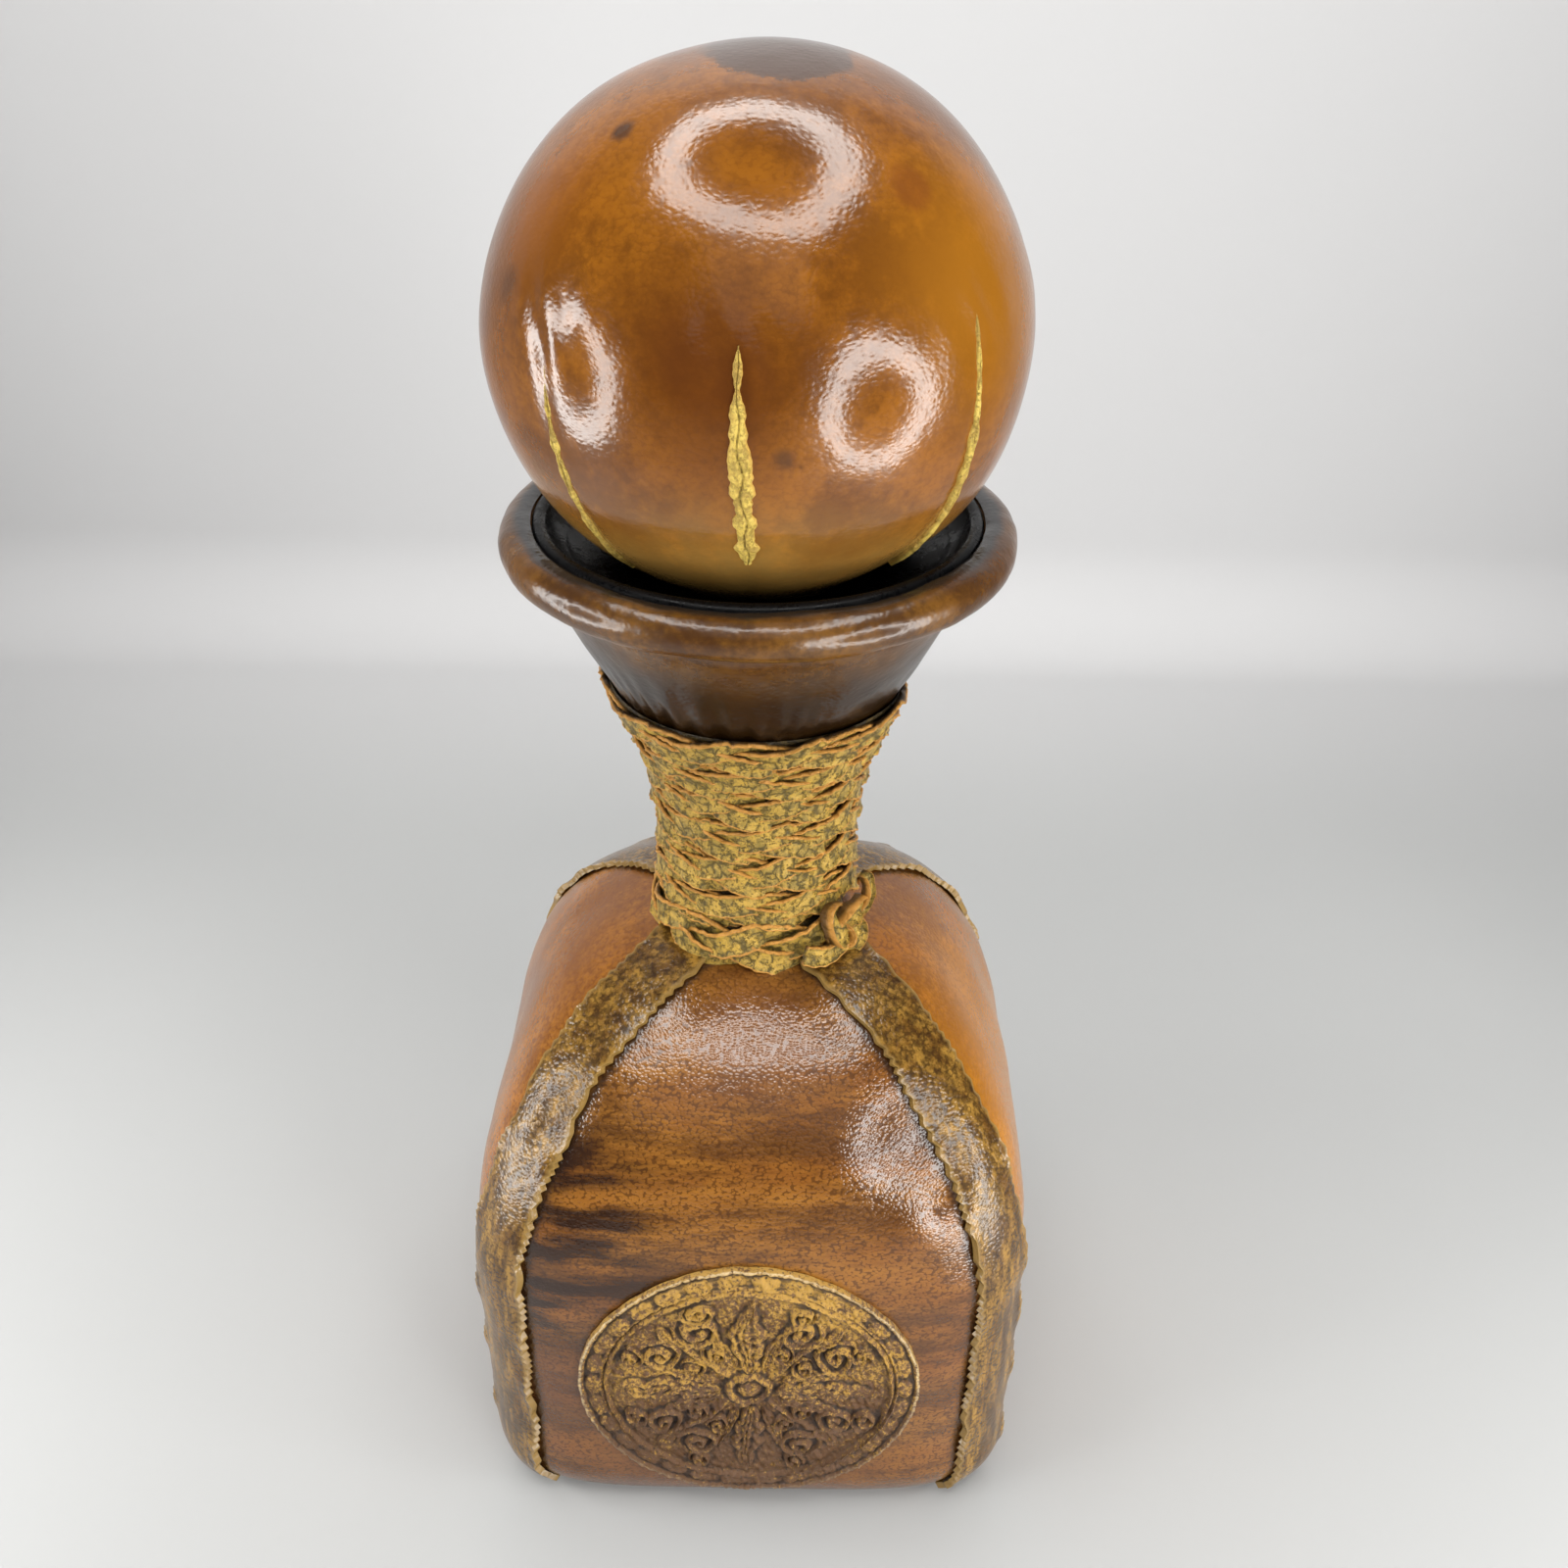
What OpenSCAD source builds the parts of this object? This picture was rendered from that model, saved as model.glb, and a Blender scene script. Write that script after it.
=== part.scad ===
// Square-shouldered glass decanter in a leather cover, with a leather ball stopper.
// Units are millimetres. The origin is the middle of the base, +Z is up, and the
// medallion faces -Y.

/* [Body] */
// Width of the covered body, flat to flat
belly_w = 102; // [86:1:124]
// Width of the flat base
foot_w = 83; // [68:1:84]
// Height of the rounded foot
foot_h = 13; // [8:0.5:20]
// Height at which the shoulder starts
shoulder_z = 60; // [48:1:74]
// Height at which the shoulder meets the neck
body_h = 110.5; // [92:0.5:134]
// Squareness of the body in plan, where 2 is round
corner_power = 5.4; // [3:0.1:8]
// Slope of the shoulder, where 1 is an ellipse and 2 a straight cone
shoulder_power = 1.1; // [1:0.05:1.6]

/* [Glass] */
// Wall of the glass body
glass_wall = 3.5; // [2:0.1:5]
// Thickness of the glass floor
glass_floor = 6; // [4:0.5:10]
// Radius of the bore in the glass neck
bore_r = 11; // [9:0.1:13.5]
// Wall of the glass neck
neck_wall = 3; // [2:0.1:4]

/* [Leather] */
// Thickness of the panels, the base pad and the neck leather
leather_t = 1.5; // [1:0.1:2]
// Width of a corner strip
strip_w = 12; // [8:0.5:15]
// Thickness of a corner strip
strip_t = 1.1; // [0.8:0.1:1.6]
// Diameter of the medallion
medallion_d = 62; // [44:1:66]
// Height of the middle of the medallion
medallion_z = 40; // [36:1:44]
// Thickness of the medallion at its raised rim
medallion_t = 1.8; // [1.2:0.1:3]

/* [Neck and mouth] */
// Height from the shoulder to the top of the mouth
neck_h = 77.7; // [66:0.1:92]
// Height of the flare, measured down from the top of the mouth
flare_h = 58.2; // [48:0.1:62]
// Diameter over the rolled lip
mouth_d = 81.2; // [68:0.2:97]
// Diameter of the rolled lip's section
lip_d = 7; // [5.6:0.1:8]
// Depth of the liner's throat below the top of the mouth
throat_h = 19.2; // [17:0.1:24]
// Thickness of the mouth liner
liner_t = 1.3; // [0.8:0.1:2]

/* [Lace] */
// Width of the braided lace
lace_w = 7.1; // [5:0.1:7.3]
// Thickness of the braided lace
lace_t = 2.7; // [1.8:0.1:3.2]
// Climb of the lace in one turn, along the neck
lace_pitch = 7.4; // [7.4:0.1:9]
// Turns of the lace round the neck
lace_turns = 7; // [4:1:7]

/* [Stopper] */
// Diameter of the ball over its leather
ball_d = 80; // [66:1:97]
// Height of the ball as a share of its diameter
ball_squash = 0.97; // [0.94:0.01:1]
// Depth of the ball's lowest point below the top of the mouth
ball_sink = 11.3; // [9:0.1:13]
// Length of the cork
cork_len = 40; // [30:1:46]
// Radius of the peg
peg_r = 4.95; // [3.5:0.05:6]
// Depth of the peg in the ball
peg_depth = 26; // [18:1:32]
// Height of the seams' raised edges above the ball
seam_h = 0.7; // [0.3:0.1:1.2]
// Width of a seam's raised edges
seam_w = 1.3; // [0.8:0.1:2]

/* [Fits] */
// Radial clearance of the cork in the bore and of the peg in the cork
run_gap = 0.05; // [0.02:0.01:0.1]
// Gap between the ball and the liner's seat
seat_gap = 0.35; // [0.3:0.05:0.6]
// Gap left where a skin lies on another
lay_gap = 0.1; // [0.05:0.05:0.2]

/* [Hidden] */
$fn = 96;

// The directions of the four faces and the four corners, seen from above
RIGHT = 0;
BACK = 90;
LEFT = 180;
FRONT = 270;
CORNER = 45;

// Direction of the lace's knot, seen from above
KNOT = FRONT + 50;

TAN = "#8a4b1c";
BROWN = "#6b3a1a";
OLIVE = "#7d6226";
STRAW = "#a9854a";

face_steps = 18;
foot_steps = 5;
belly_steps = 3;
shoulder_steps = 13;

// Radii round the neck, from the bore outwards
neck_r = bore_r + neck_wall;
sleeve_r = neck_r + leather_t;
sleeve_gap = 0.5;
neck_foot_r = sleeve_r + sleeve_gap;

// Heights and radii of the mouth
mouth_z = body_h + neck_h;
lip_r = lip_d / 2;
lip_at = [mouth_d / 2 - lip_r, mouth_z - lip_r];
flare_z = mouth_z - flare_h;
glass_top = mouth_z - throat_h;

// The ball
ball_r = ball_d / 2;
ball_half_h = ball_r * ball_squash;
ball_bottom = mouth_z - ball_sink;
ball_z = ball_bottom + ball_half_h;

// ---------- outlines ----------

// The covered body from foot to neck: half width, height and squareness of each ring
outline = concat(
    [for (i = [0:foot_steps])
        let (a = 90 * i / foot_steps)
        [foot_w / 2 + (belly_w - foot_w) / 2 * sin(a), foot_h * (1 - cos(a)), corner_power]],
    [for (i = [1:belly_steps])
        [belly_w / 2, foot_h + (shoulder_z - foot_h) * i / belly_steps, corner_power]],
    [for (i = [1:shoulder_steps])
        let (a = 90 * i / shoulder_steps)
        [neck_foot_r + (belly_w / 2 - neck_foot_r) * pow(cos(a), shoulder_power),
         shoulder_z + (body_h - shoulder_z) * pow(sin(a), shoulder_power),
         2 + (corner_power - 2) * pow(cos(a), 1.5)]]);

// Outward direction of the outline at ring i: straight down at the base, up at the neck
function outline_normal(i) =
    i == 0 ? [0, -1]
    : i == len(outline) - 1 ? [0, 1]
    : let (d = outline[i + 1] - outline[i - 1]) [d[1], -d[0]] / norm([d[0], d[1]]);

// The outline moved inwards by a depth, or outwards where the depth is negative
function inset_outline(depth) =
    [for (i = [0:len(outline) - 1])
        let (n = outline_normal(i))
        [outline[i][0] - depth * n[0], outline[i][1] - depth * n[1], outline[i][2]]];

// Point of a ring in the direction phi: a superellipse in polar form
function ring_point(ring, phi) =
    let (r = ring[0] / pow(pow(abs(cos(phi)), ring[2]) + pow(abs(sin(phi)), ring[2]), 1 / ring[2]))
    [r * cos(phi), r * sin(phi), ring[1]];

// Point of a cubic curve at t, from 0 to 1
function curve_point(p, t) =
    pow(1 - t, 3) * p[0] + 3 * t * pow(1 - t, 2) * p[1] + 3 * t * t * (1 - t) * p[2] + pow(t, 3) * p[3];

// Point at an angle on a circle in the profile plane
function on_circle(centre, r, a) = centre + r * [cos(a), sin(a)];

// A line of points moved to its left by d
function shifted(line, d) =
    [for (i = [0:len(line) - 1])
        let (t = line[min(i + 1, len(line) - 1)] - line[max(i - 1, 0)])
        line[i] + d * [-t[1], t[0]] / norm(t)];

function reversed(line) = [for (i = [len(line) - 1:-1:0]) line[i]];

// Height of the ball's underside at the radius r
function ball_under(r) = ball_z - ball_half_h * sqrt(1 - pow(r / ball_r, 2));

// The neck leather's outer line: up the neck, then out with the flare to the rolled lip
lip_start = -125;
lip_end = 120;
flare_steps = 16;
flare_rise = lip_at[1] - flare_z;
flare_end = on_circle(lip_at, lip_r, lip_start);
flare_curve = [[sleeve_r, flare_z],
               [sleeve_r + 0.2, flare_z + 0.41 * flare_rise],
               [sleeve_r + 0.49 * (flare_end[0] - sleeve_r), flare_z + 0.52 * flare_rise],
               flare_end];
sleeve_bottom = body_h - leather_t + lay_gap;
sleeve_line = concat([[sleeve_r, sleeve_bottom]],
                     [for (i = [0:flare_steps]) curve_point(flare_curve, i / flare_steps)]);
sleeve_inside = [for (p = shifted(sleeve_line, leather_t)) [max(p[0], neck_r), p[1]]];

// The liner's upper line: its rolled edge, then the dish under the ball and the throat to the glass
edge_r = 1.2;
edge_drop = 2.3;
liner_r = lip_at[0] - lip_r / 2 - lay_gap;
seat_r = bore_r + 9;
seat_z = ball_under(seat_r) - seat_gap;
throat_r = bore_r + 0.5;
dish_line = concat(
    [[liner_r - 3.3, mouth_z - 3], [seat_r + 5, seat_z + 0.5], [seat_r, seat_z]],
    [for (t = [0.25:0.25:1])
        curve_point([[seat_r, seat_z], [seat_r - 3.5, seat_z - 2],
                     [throat_r + 1.5, glass_top + 5], [throat_r, glass_top + liner_t]], t)]);
liner_line = concat(
    [for (a = [0:30:150]) on_circle([liner_r - edge_r, mouth_z + 0.1 - edge_r], edge_r, a)],
    dish_line, [[throat_r, glass_top]]);
liner_under = concat(
    [[liner_r, mouth_z - edge_drop]],
    [for (i = [0:len(dish_line) - 2]) shifted(dish_line, liner_t)[i]],
    [[throat_r + liner_t, glass_top]]);

// ---------- shared solids ----------

// Closed solid between an outer and an inner grid of points, each with "across" + 1 a row
module slab(outer, inner, across) {
    n = across + 1;
    rows = len(outer) / n;
    m = len(outer);
    skin = [for (j = [0:rows - 2], i = [0:across - 1]) [j * n + i, (j + 1) * n + i, (j + 1) * n + i + 1, j * n + i + 1]];
    ends = [for (i = [0:across - 1]) each
        [[i, i + 1, m + i + 1, m + i],
         [(rows - 1) * n + i + 1, (rows - 1) * n + i, m + (rows - 1) * n + i, m + (rows - 1) * n + i + 1]]];
    sides = [for (j = [0:rows - 2]) each
        [[(j + 1) * n, j * n, m + j * n, m + (j + 1) * n],
         [j * n + across, (j + 1) * n + across, m + (j + 1) * n + across, m + j * n + across]]];
    quads = concat(skin, [for (f = skin) [f[2] + m, f[1] + m, f[0] + m, f[3] + m]], ends, sides);
    polyhedron(concat(outer, inner), [for (f = quads) each [[f[0], f[1], f[2]], [f[0], f[2], f[3]]]]);
}

// Closed solid through a stack of rings of equal count, each ring going anticlockwise
module stack(rings) {
    n = len(rings[0]);
    last = len(rings) - 1;
    walls = [for (j = [0:last - 1], i = [0:n - 1])
        let (k = (i + 1) % n) each
        [[j * n + i, (j + 1) * n + i, (j + 1) * n + k], [j * n + i, (j + 1) * n + k, j * n + k]]];
    polyhedron([for (r = rings) each r],
               concat(walls, [[for (i = [0:n - 1]) i]], [[for (i = [n - 1:-1:0]) last * n + i]]));
}

// The body as a solid through a list of rings
module body_solid(rings) {
    step = 90 / face_steps;
    stack([for (ring = rings) [for (phi = [0:step:360 - step]) ring_point(ring, phi)]]);
}

// Tube of a small round section along a list of points
module tube(path, r, sides) {
    stack([for (i = [0:len(path) - 1])
        let (t = path[min(i + 1, len(path) - 1)] - path[max(i - 1, 0)],
             w = t / norm(t),
             u = cross(w, [0.3, 0.2, 1]) / norm(cross(w, [0.3, 0.2, 1])),
             v = cross(w, u))
        [for (a = [0:360 / sides:359]) path[i] + r * (cos(a) * u + sin(a) * v)]]);
}

// ---------- body ----------

module glass_bottle() {
    inside = inset_outline(leather_t + glass_wall);
    floor_z = leather_t + glass_floor;
    above = [for (ring = inside) if (ring[1] > floor_z + 1) ring];
    cavity = concat([[above[0][0] - 2, floor_z, corner_power]], above);
    color("#c9d8cf")
    difference() {
        union() {
            body_solid(inset_outline(leather_t));
            translate([0, 0, shoulder_z]) cylinder(r = neck_r, h = glass_top - shoulder_z);
        }
        body_solid(cavity);
        translate([0, 0, shoulder_z]) cylinder(r = bore_r, h = mouth_z - shoulder_z);
    }
}

module base_pad() {
    pad = [foot_w / 2 - lay_gap, 0, corner_power];
    step = 90 / face_steps;
    color(BROWN)
    linear_extrude(leather_t)
        polygon([for (phi = [0:step:360 - step]) let (p = ring_point(pad, phi)) [p[0], p[1]]]);
}

// One face's leather, from the base to the neck and from corner to corner
module panel(direction) {
    seam = 0.25;
    angles = [for (i = [0:face_steps])
        direction + min(CORNER - seam, max(seam - CORNER, 2 * CORNER * i / face_steps - CORNER))];
    under = inset_outline(leather_t - lay_gap);
    slab([for (ring = inset_outline(0)) each [for (phi = angles) ring_point(ring, phi)]],
         [for (ring = under) each [for (phi = angles) ring_point(ring, phi)]],
         face_steps);
}

module front_panel() {
    color(BROWN) panel(FRONT);
}

module right_panel() {
    color(TAN) panel(RIGHT);
}

module back_panel() {
    color(TAN) panel(BACK);
}

module left_panel() {
    color(TAN) panel(LEFT);
}

// A strip over the seam of two panels, of even width from the foot to the neck
module strip(direction) {
    across = 4;
    first = 2;
    last = len(outline) - 2;
    function row(ring) =
        let (p = ring_point(ring, direction),
             spread = strip_w / 2 / norm([p[0], p[1]]) * 180 / PI)
        [for (i = [0:across]) ring_point(ring, direction + spread * (2 * i / across - 1))];
    over = inset_outline(-lay_gap - strip_t);
    under = inset_outline(-lay_gap);
    color(OLIVE)
    slab([for (j = [first:last]) each row(over[j])],
         [for (j = [first:last]) each row(under[j])],
         across);
}

module strip_front_right() {
    strip(FRONT + CORNER);
}

module strip_back_right() {
    strip(RIGHT + CORNER);
}

module strip_back_left() {
    strip(BACK + CORNER);
}

module strip_front_left() {
    strip(LEFT + CORNER);
}

// Embossed disc that follows the front panel
module medallion() {
    rings = 12;
    around = 48;
    // Relief from the middle to the edge: boss, field, inner ring, beaded border, rim
    relief = [[0, 1], [0.1, 1], [0.17, 0.55], [0.4, 0.75], [0.68, 0.6], [0.75, 0.85],
              [0.85, 0.8], [0.93, 0.7], [0.97, 1], [1, 0.6]];
    widths = [for (ring = inset_outline(-lay_gap)) [ring[1], ring[0]]];
    function lie(x, z, up) =
        let (half = lookup(z, widths))
        [x, -pow(pow(half, corner_power) - pow(abs(x), corner_power), 1 / corner_power) - up, z];
    function grid(up) = [for (j = [0:rings]) [for (i = [0:around - 1])
        let (s = max(j / rings, 0.02), a = 360 * i / around)
        lie(medallion_d / 2 * s * cos(a), medallion_z + medallion_d / 2 * s * sin(a), up * lookup(s, relief))]];
    color(STRAW) stack(concat(grid(medallion_t), reversed(grid(0))));
}

// ---------- neck and mouth ----------

// Leather of the neck, drawn out over the mouth cone and rolled round its lip
module neck_leather() {
    roll = [for (a = [lip_start + 15:15:lip_end - 5]) a];
    color(BROWN)
    rotate_extrude()
    polygon(concat(
        sleeve_line,
        [for (a = roll) on_circle(lip_at, lip_r, a)],
        [on_circle(lip_at, lip_r, lip_end), on_circle(lip_at, lip_r - leather_t, lip_end)],
        [for (a = reversed(roll)) on_circle(lip_at, lip_r - leather_t, a)],
        reversed([for (i = [0:flare_steps]) sleeve_inside[i]])));
}

// Turned cone that holds the flare and carries the liner
module mouth_cone() {
    first = 5;
    core_r = lip_r - leather_t;
    color("#a58a63")
    rotate_extrude()
    polygon(concat(
        [[neck_r, sleeve_inside[first][1]]],
        [for (i = [first:flare_steps]) sleeve_inside[i]],
        [for (a = [lip_start + 15:15:lip_end]) on_circle(lip_at, core_r, a)],
        liner_under,
        [[neck_r, glass_top]]));
}

// Black liner of the mouth, with a rolled edge, a dish for the ball and a throat
module mouth_liner() {
    color("#151515")
    rotate_extrude()
    polygon(concat(liner_line, reversed(liner_under)));
}

// Distance along the sleeve's line at each of its points
sleeve_run = [for (i = 0, s = 0; i < len(sleeve_line);
                   i = i + 1, s = i < len(sleeve_line) ? s + norm(sleeve_line[i] - sleeve_line[i - 1]) : s) s];

// Point of the sleeve's line at the distance s along it
function sleeve_at(s) = [for (c = [0, 1])
    lookup(s, [for (i = [0:len(sleeve_line) - 1]) [sleeve_run[i], sleeve_line[i][c]]])];

// The lace's climb in turns: each turn lies level, then steps up onto the next over its last quarter
function climb(turn) =
    let (part = max(0, (turn - floor(turn)) * 4 - 3))
    floor(turn) + part * part * (3 - 2 * part);

// Braided lace wound round the neck from its knot, as one flat band
module neck_lace() {
    a_turn = 24;
    across = 8;
    length = lace_turns - 0.25;
    section = [for (i = [0:across - 1])
        let (a = 360 / across * (i + 0.5))
        [lace_w / 2 * cos(a) / cos(180 / across), 0.5 + 0.5 * sin(a) / cos(180 / across)]];
    start = body_h + lay_gap - sleeve_bottom + lace_w / 2;
    rings = [for (k = [0:a_turn * length])
        let (turn = k / a_turn,
             s = start + lace_pitch * climb(turn),
             p = sleeve_at(s),
             t = sleeve_at(s + 1) - sleeve_at(s - 1),
             along = t / norm(t),
             out = [along[1], -along[0]],
             a = KNOT - 360 * turn)
        [for (q = section)
            let (c = p + along * q[0] + out * (3 * lay_gap + lace_t * q[1]))
            [c[0] * cos(a), c[0] * sin(a), c[1]]]];
    color(STRAW) stack(reversed(rings));
}

// Knot that ends the lace, with the loose tail of one strand
module lace_knot() {
    knot_r = [2.6, 3.2, 3.4];
    tail_r = 0.7;
    at = [sleeve_r + lace_t + 3 * lay_gap + knot_r[0] + 0.3, body_h + knot_r[2] + 1.2];
    lumps = 3;
    color(STRAW)
    rotate([0, 0, KNOT])
    translate([at[0], 0, at[1]])
    union() {
        stack([for (e = [-80:20:80]) [for (a = [0:20:340])
            let (r = cos(e) * (1 + 0.12 * cos(lumps * a + e)))
            [knot_r[0] * r * cos(a), knot_r[1] * r * sin(a), knot_r[2] * sin(e)]]]);
        tube([[0.5, 0, 1], [1, 1.6, 2.4], [1.6, 3, 4.2], [1.8, 3.7, 6.2], [1.4, 3.4, 8], [0.8, 2.4, 9.2]],
             tail_r, 8);
    }
}

// ---------- stopper ----------

// Profile of the ball at a depth below its leather's face: half of a flattened circle
function ball_profile(depth) =
    [for (a = [-90:5:90]) [(ball_r - depth) * cos(a), ball_z + (ball_half_h - depth) * sin(a)]];

cork_top = ball_bottom - 0.6;
button_h = 3;
button_gap = 0.3;
button_r = peg_r + 2.5;

module cork() {
    color("#c79a63")
    translate([0, 0, cork_top - cork_len])
    difference() {
        cylinder(r = bore_r - run_gap, h = cork_len);
        translate([0, 0, -1]) cylinder(r = peg_r + run_gap, h = cork_len + 2);
    }
}

// Peg fixed in the ball, with a button that keeps the cork on it
module stopper_peg() {
    bottom = cork_top - cork_len - button_gap - button_h;
    color("#b98a54")
    union() {
        translate([0, 0, bottom]) cylinder(r = peg_r, h = ball_bottom + peg_depth - bottom);
        translate([0, 0, bottom]) cylinder(r = button_r, h = button_h);
    }
}

module stopper_core() {
    color("#b98a54")
    difference() {
        rotate_extrude() polygon(ball_profile(leather_t));
        translate([0, 0, ball_bottom - 1]) cylinder(r = peg_r, h = peg_depth + 1);
    }
}

// Leather of the ball, with the raised edges of the cuts that take up its fullness
module stopper_leather() {
    // Directions of the seams, from the front
    seams = [-2, 48, 94, 139, 184, 229, 272, 318];
    seam_low = -50;
    seam_high = 15;
    color(TAN)
    difference() {
        union() {
            rotate_extrude() polygon(ball_profile(0));
            for (turn = seams)
                rotate([0, 0, FRONT + turn])
                rotate([90, 0, 0])
                linear_extrude(seam_w, center = true)
                polygon(concat(
                    [for (a = [seam_low:5:seam_high])
                        [(ball_r + seam_h) * cos(a), ball_z + (ball_half_h + seam_h) * sin(a)]],
                    [for (a = [seam_high:-5:seam_low])
                        [(ball_r - 0.8) * cos(a), ball_z + (ball_half_h - 0.8) * sin(a)]]));
        }
        rotate_extrude() polygon(ball_profile(leather_t));
        translate([0, 0, ball_bottom - 1]) cylinder(r = peg_r, h = leather_t + 2);
    }
}

glass_bottle();
base_pad();
front_panel();
right_panel();
back_panel();
left_panel();
strip_front_right();
strip_back_right();
strip_back_left();
strip_front_left();
medallion();
neck_leather();
mouth_cone();
mouth_liner();
neck_lace();
lace_knot();
cork();
stopper_peg();
stopper_core();
stopper_leather();
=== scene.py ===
"""Leather-covered glass decanter with a ball stopper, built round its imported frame.

Each sub-assembly is a class whose fields hold its sizes and whose methods work its
surfaces out with numpy and dress them. Lengths are metres, +Z is up and the medallion
faces -Y.
"""

import logging
import math
from dataclasses import dataclass, field
from enum import Enum
from functools import cached_property

import bpy
import numpy as np
from mathutils import Matrix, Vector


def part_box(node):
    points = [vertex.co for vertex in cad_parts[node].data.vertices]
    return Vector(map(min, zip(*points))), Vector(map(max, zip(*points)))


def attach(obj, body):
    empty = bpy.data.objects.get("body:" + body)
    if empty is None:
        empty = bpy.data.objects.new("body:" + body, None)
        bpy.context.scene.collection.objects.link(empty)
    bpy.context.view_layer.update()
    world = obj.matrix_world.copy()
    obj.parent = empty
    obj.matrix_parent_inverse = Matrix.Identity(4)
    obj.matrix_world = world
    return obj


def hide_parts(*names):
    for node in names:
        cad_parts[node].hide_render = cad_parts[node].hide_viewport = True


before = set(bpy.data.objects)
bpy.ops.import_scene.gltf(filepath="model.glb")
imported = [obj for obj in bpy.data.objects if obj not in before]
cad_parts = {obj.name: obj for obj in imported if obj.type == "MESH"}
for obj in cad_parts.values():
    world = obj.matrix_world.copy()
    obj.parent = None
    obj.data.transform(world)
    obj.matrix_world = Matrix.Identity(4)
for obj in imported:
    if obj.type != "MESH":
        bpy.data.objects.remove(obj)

LOG = logging.getLogger("decanter")
MM = 0.001
LEATHER = 1.5 * MM
PIT_SHADE = 0.35
# Black for the roll's inner side, under the ball.
ROLL_BLACK = (0.010, 0.008, 0.008)
# Near black for painted shade: under the lace's strands, on the band behind them and in the darts' slits.
PAINTED_SHADE_BLACK = (0.012, 0.007, 0.004)

Array = np.ndarray
Colour = tuple[float, float, float]
Point = tuple[float, float, float]


class Body(Enum):
    """The three bodies that a piece can ride on."""

    BOTTLE = "bottle"
    CORK = "cork"
    BALL = "ball"


class Face(Enum):
    """The four faces of the body, by their direction in degrees seen from above."""

    RIGHT = 0
    BACK = 90
    LEFT = 180
    FRONT = 270


class Corner(Enum):
    """The four corners of the body, by their direction in degrees seen from above."""

    BACK_RIGHT = 45
    BACK_LEFT = 135
    FRONT_LEFT = 225
    FRONT_RIGHT = 315


# ---------------------------------------------------------------- numbers


def step_between(value: Array, low: float, high: float) -> Array:
    """Gives a smooth step.

    Args:
        value: Where the step is read.
        low: Where it leaves 0.
        high: Where it reaches 1.

    Returns:
        3t^2 - 2t^3 of the clamped share t of the way from low to high.
    """
    share = np.clip((value - low) / (high - low), 0.0, 1.0)
    return share * share * (3.0 - 2.0 * share)


def bump(value: Array, centre: float | Array, width: float | Array) -> Array:
    """Gives a bell, exp(-((value - centre) / width)^2)."""
    return np.exp(-(((value - centre) / width) ** 2))


def run_along(points: Array) -> Array:
    """Gives the distance along a line of points, from 0 at its first."""
    steps = np.linalg.norm(np.diff(points, axis=0), axis=1)
    return np.concatenate([[0.0], np.cumsum(steps)])


def cubic(control: Array, share: Array) -> Array:
    """Gives points of a cubic curve from its four control points."""
    t = share[:, None]
    a, b, c, d = np.asarray(control, float)
    return (1 - t) ** 3 * a + 3 * t * (1 - t) ** 2 * b + 3 * t * t * (1 - t) * c + t ** 3 * d


def circle_arc(
    centre: tuple[float, float], radius: float, start: float, end: float, count: int,
) -> Array:
    """Gives points of an arc in a plane, from start to end in degrees."""
    angle = np.radians(np.linspace(start, end, count))
    return np.stack([centre[0] + radius * np.cos(angle), centre[1] + radius * np.sin(angle)], -1)


def unit(vectors: Array) -> Array:
    """Gives vectors their length of 1."""
    return vectors / np.linalg.norm(vectors, axis=-1, keepdims=True)


def full_turn(count: int) -> Array:
    """Gives the angles of even steps round a whole turn."""
    return np.arange(count) * 2 * math.pi / count


def sides_of(path: Array, out: Array) -> tuple[Array, Array]:
    """Gives the directions across a path and up from it.

    Args:
        path: Points of the path, (n, 3).
        out: Direction that up leans to, at each point or for all of them.

    Returns:
        The direction across and the direction up, at right angles to the path.
    """
    way = unit(np.gradient(path, axis=0))
    side = unit(np.cross(out, way))
    return side, np.cross(way, side)


def left_of(line: Array, distance: float) -> Array:
    """Moves a line in a plane to its left, at right angles to itself."""
    way = unit(np.gradient(line, axis=0))
    return line + distance * np.stack([-way[:, 1], way[:, 0]], -1)


@dataclass(frozen=True)
class Ripples:
    """Smooth unevenness in space: a sum of plane waves with random directions.

    Attributes:
        seed: Seed of the directions and phases.
        length: Middle wavelength.
        waves: Number of waves in the sum.
    """

    seed: int
    length: float
    waves: int = 14

    def at(self, points: Array) -> Array:
        """Gives the unevenness.

        Args:
            points: Points, of shape (..., 3).

        Returns:
            The sum of the waves at each point, mostly from -1 to 1.
        """
        rng = np.random.default_rng(self.seed)
        direction = unit(rng.normal(size=(self.waves, 3)))
        direction *= (2 * math.pi / (self.length * rng.uniform(0.7, 1.6, self.waves)))[:, None]
        phase = rng.uniform(0, 2 * math.pi, self.waves)
        return np.sin(points @ direction.T + phase).sum(-1) / math.sqrt(self.waves)


# ---------------------------------------------------------------- meshes


def grid_quads(rows: int, cols: int, wrap_rows: bool = False, wrap_cols: bool = False) -> Array:
    """Gives the corner numbers of a grid's quads.

    Args:
        rows: Rows of points.
        cols: Points in a row.
        wrap_rows: Whether the last row joins the first.
        wrap_cols: Whether the last point of a row joins its first.

    Returns:
        One row of four point numbers for each quad.
    """
    index = np.arange(rows * cols).reshape(rows, cols)
    if wrap_rows:
        index = np.concatenate([index, index[:1]], 0)
    if wrap_cols:
        index = np.concatenate([index, index[:, :1]], 1)
    corners = [index[:-1, :-1], index[1:, :-1], index[1:, 1:], index[:-1, 1:]]
    return np.stack(corners, -1).reshape(-1, 4)


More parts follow.
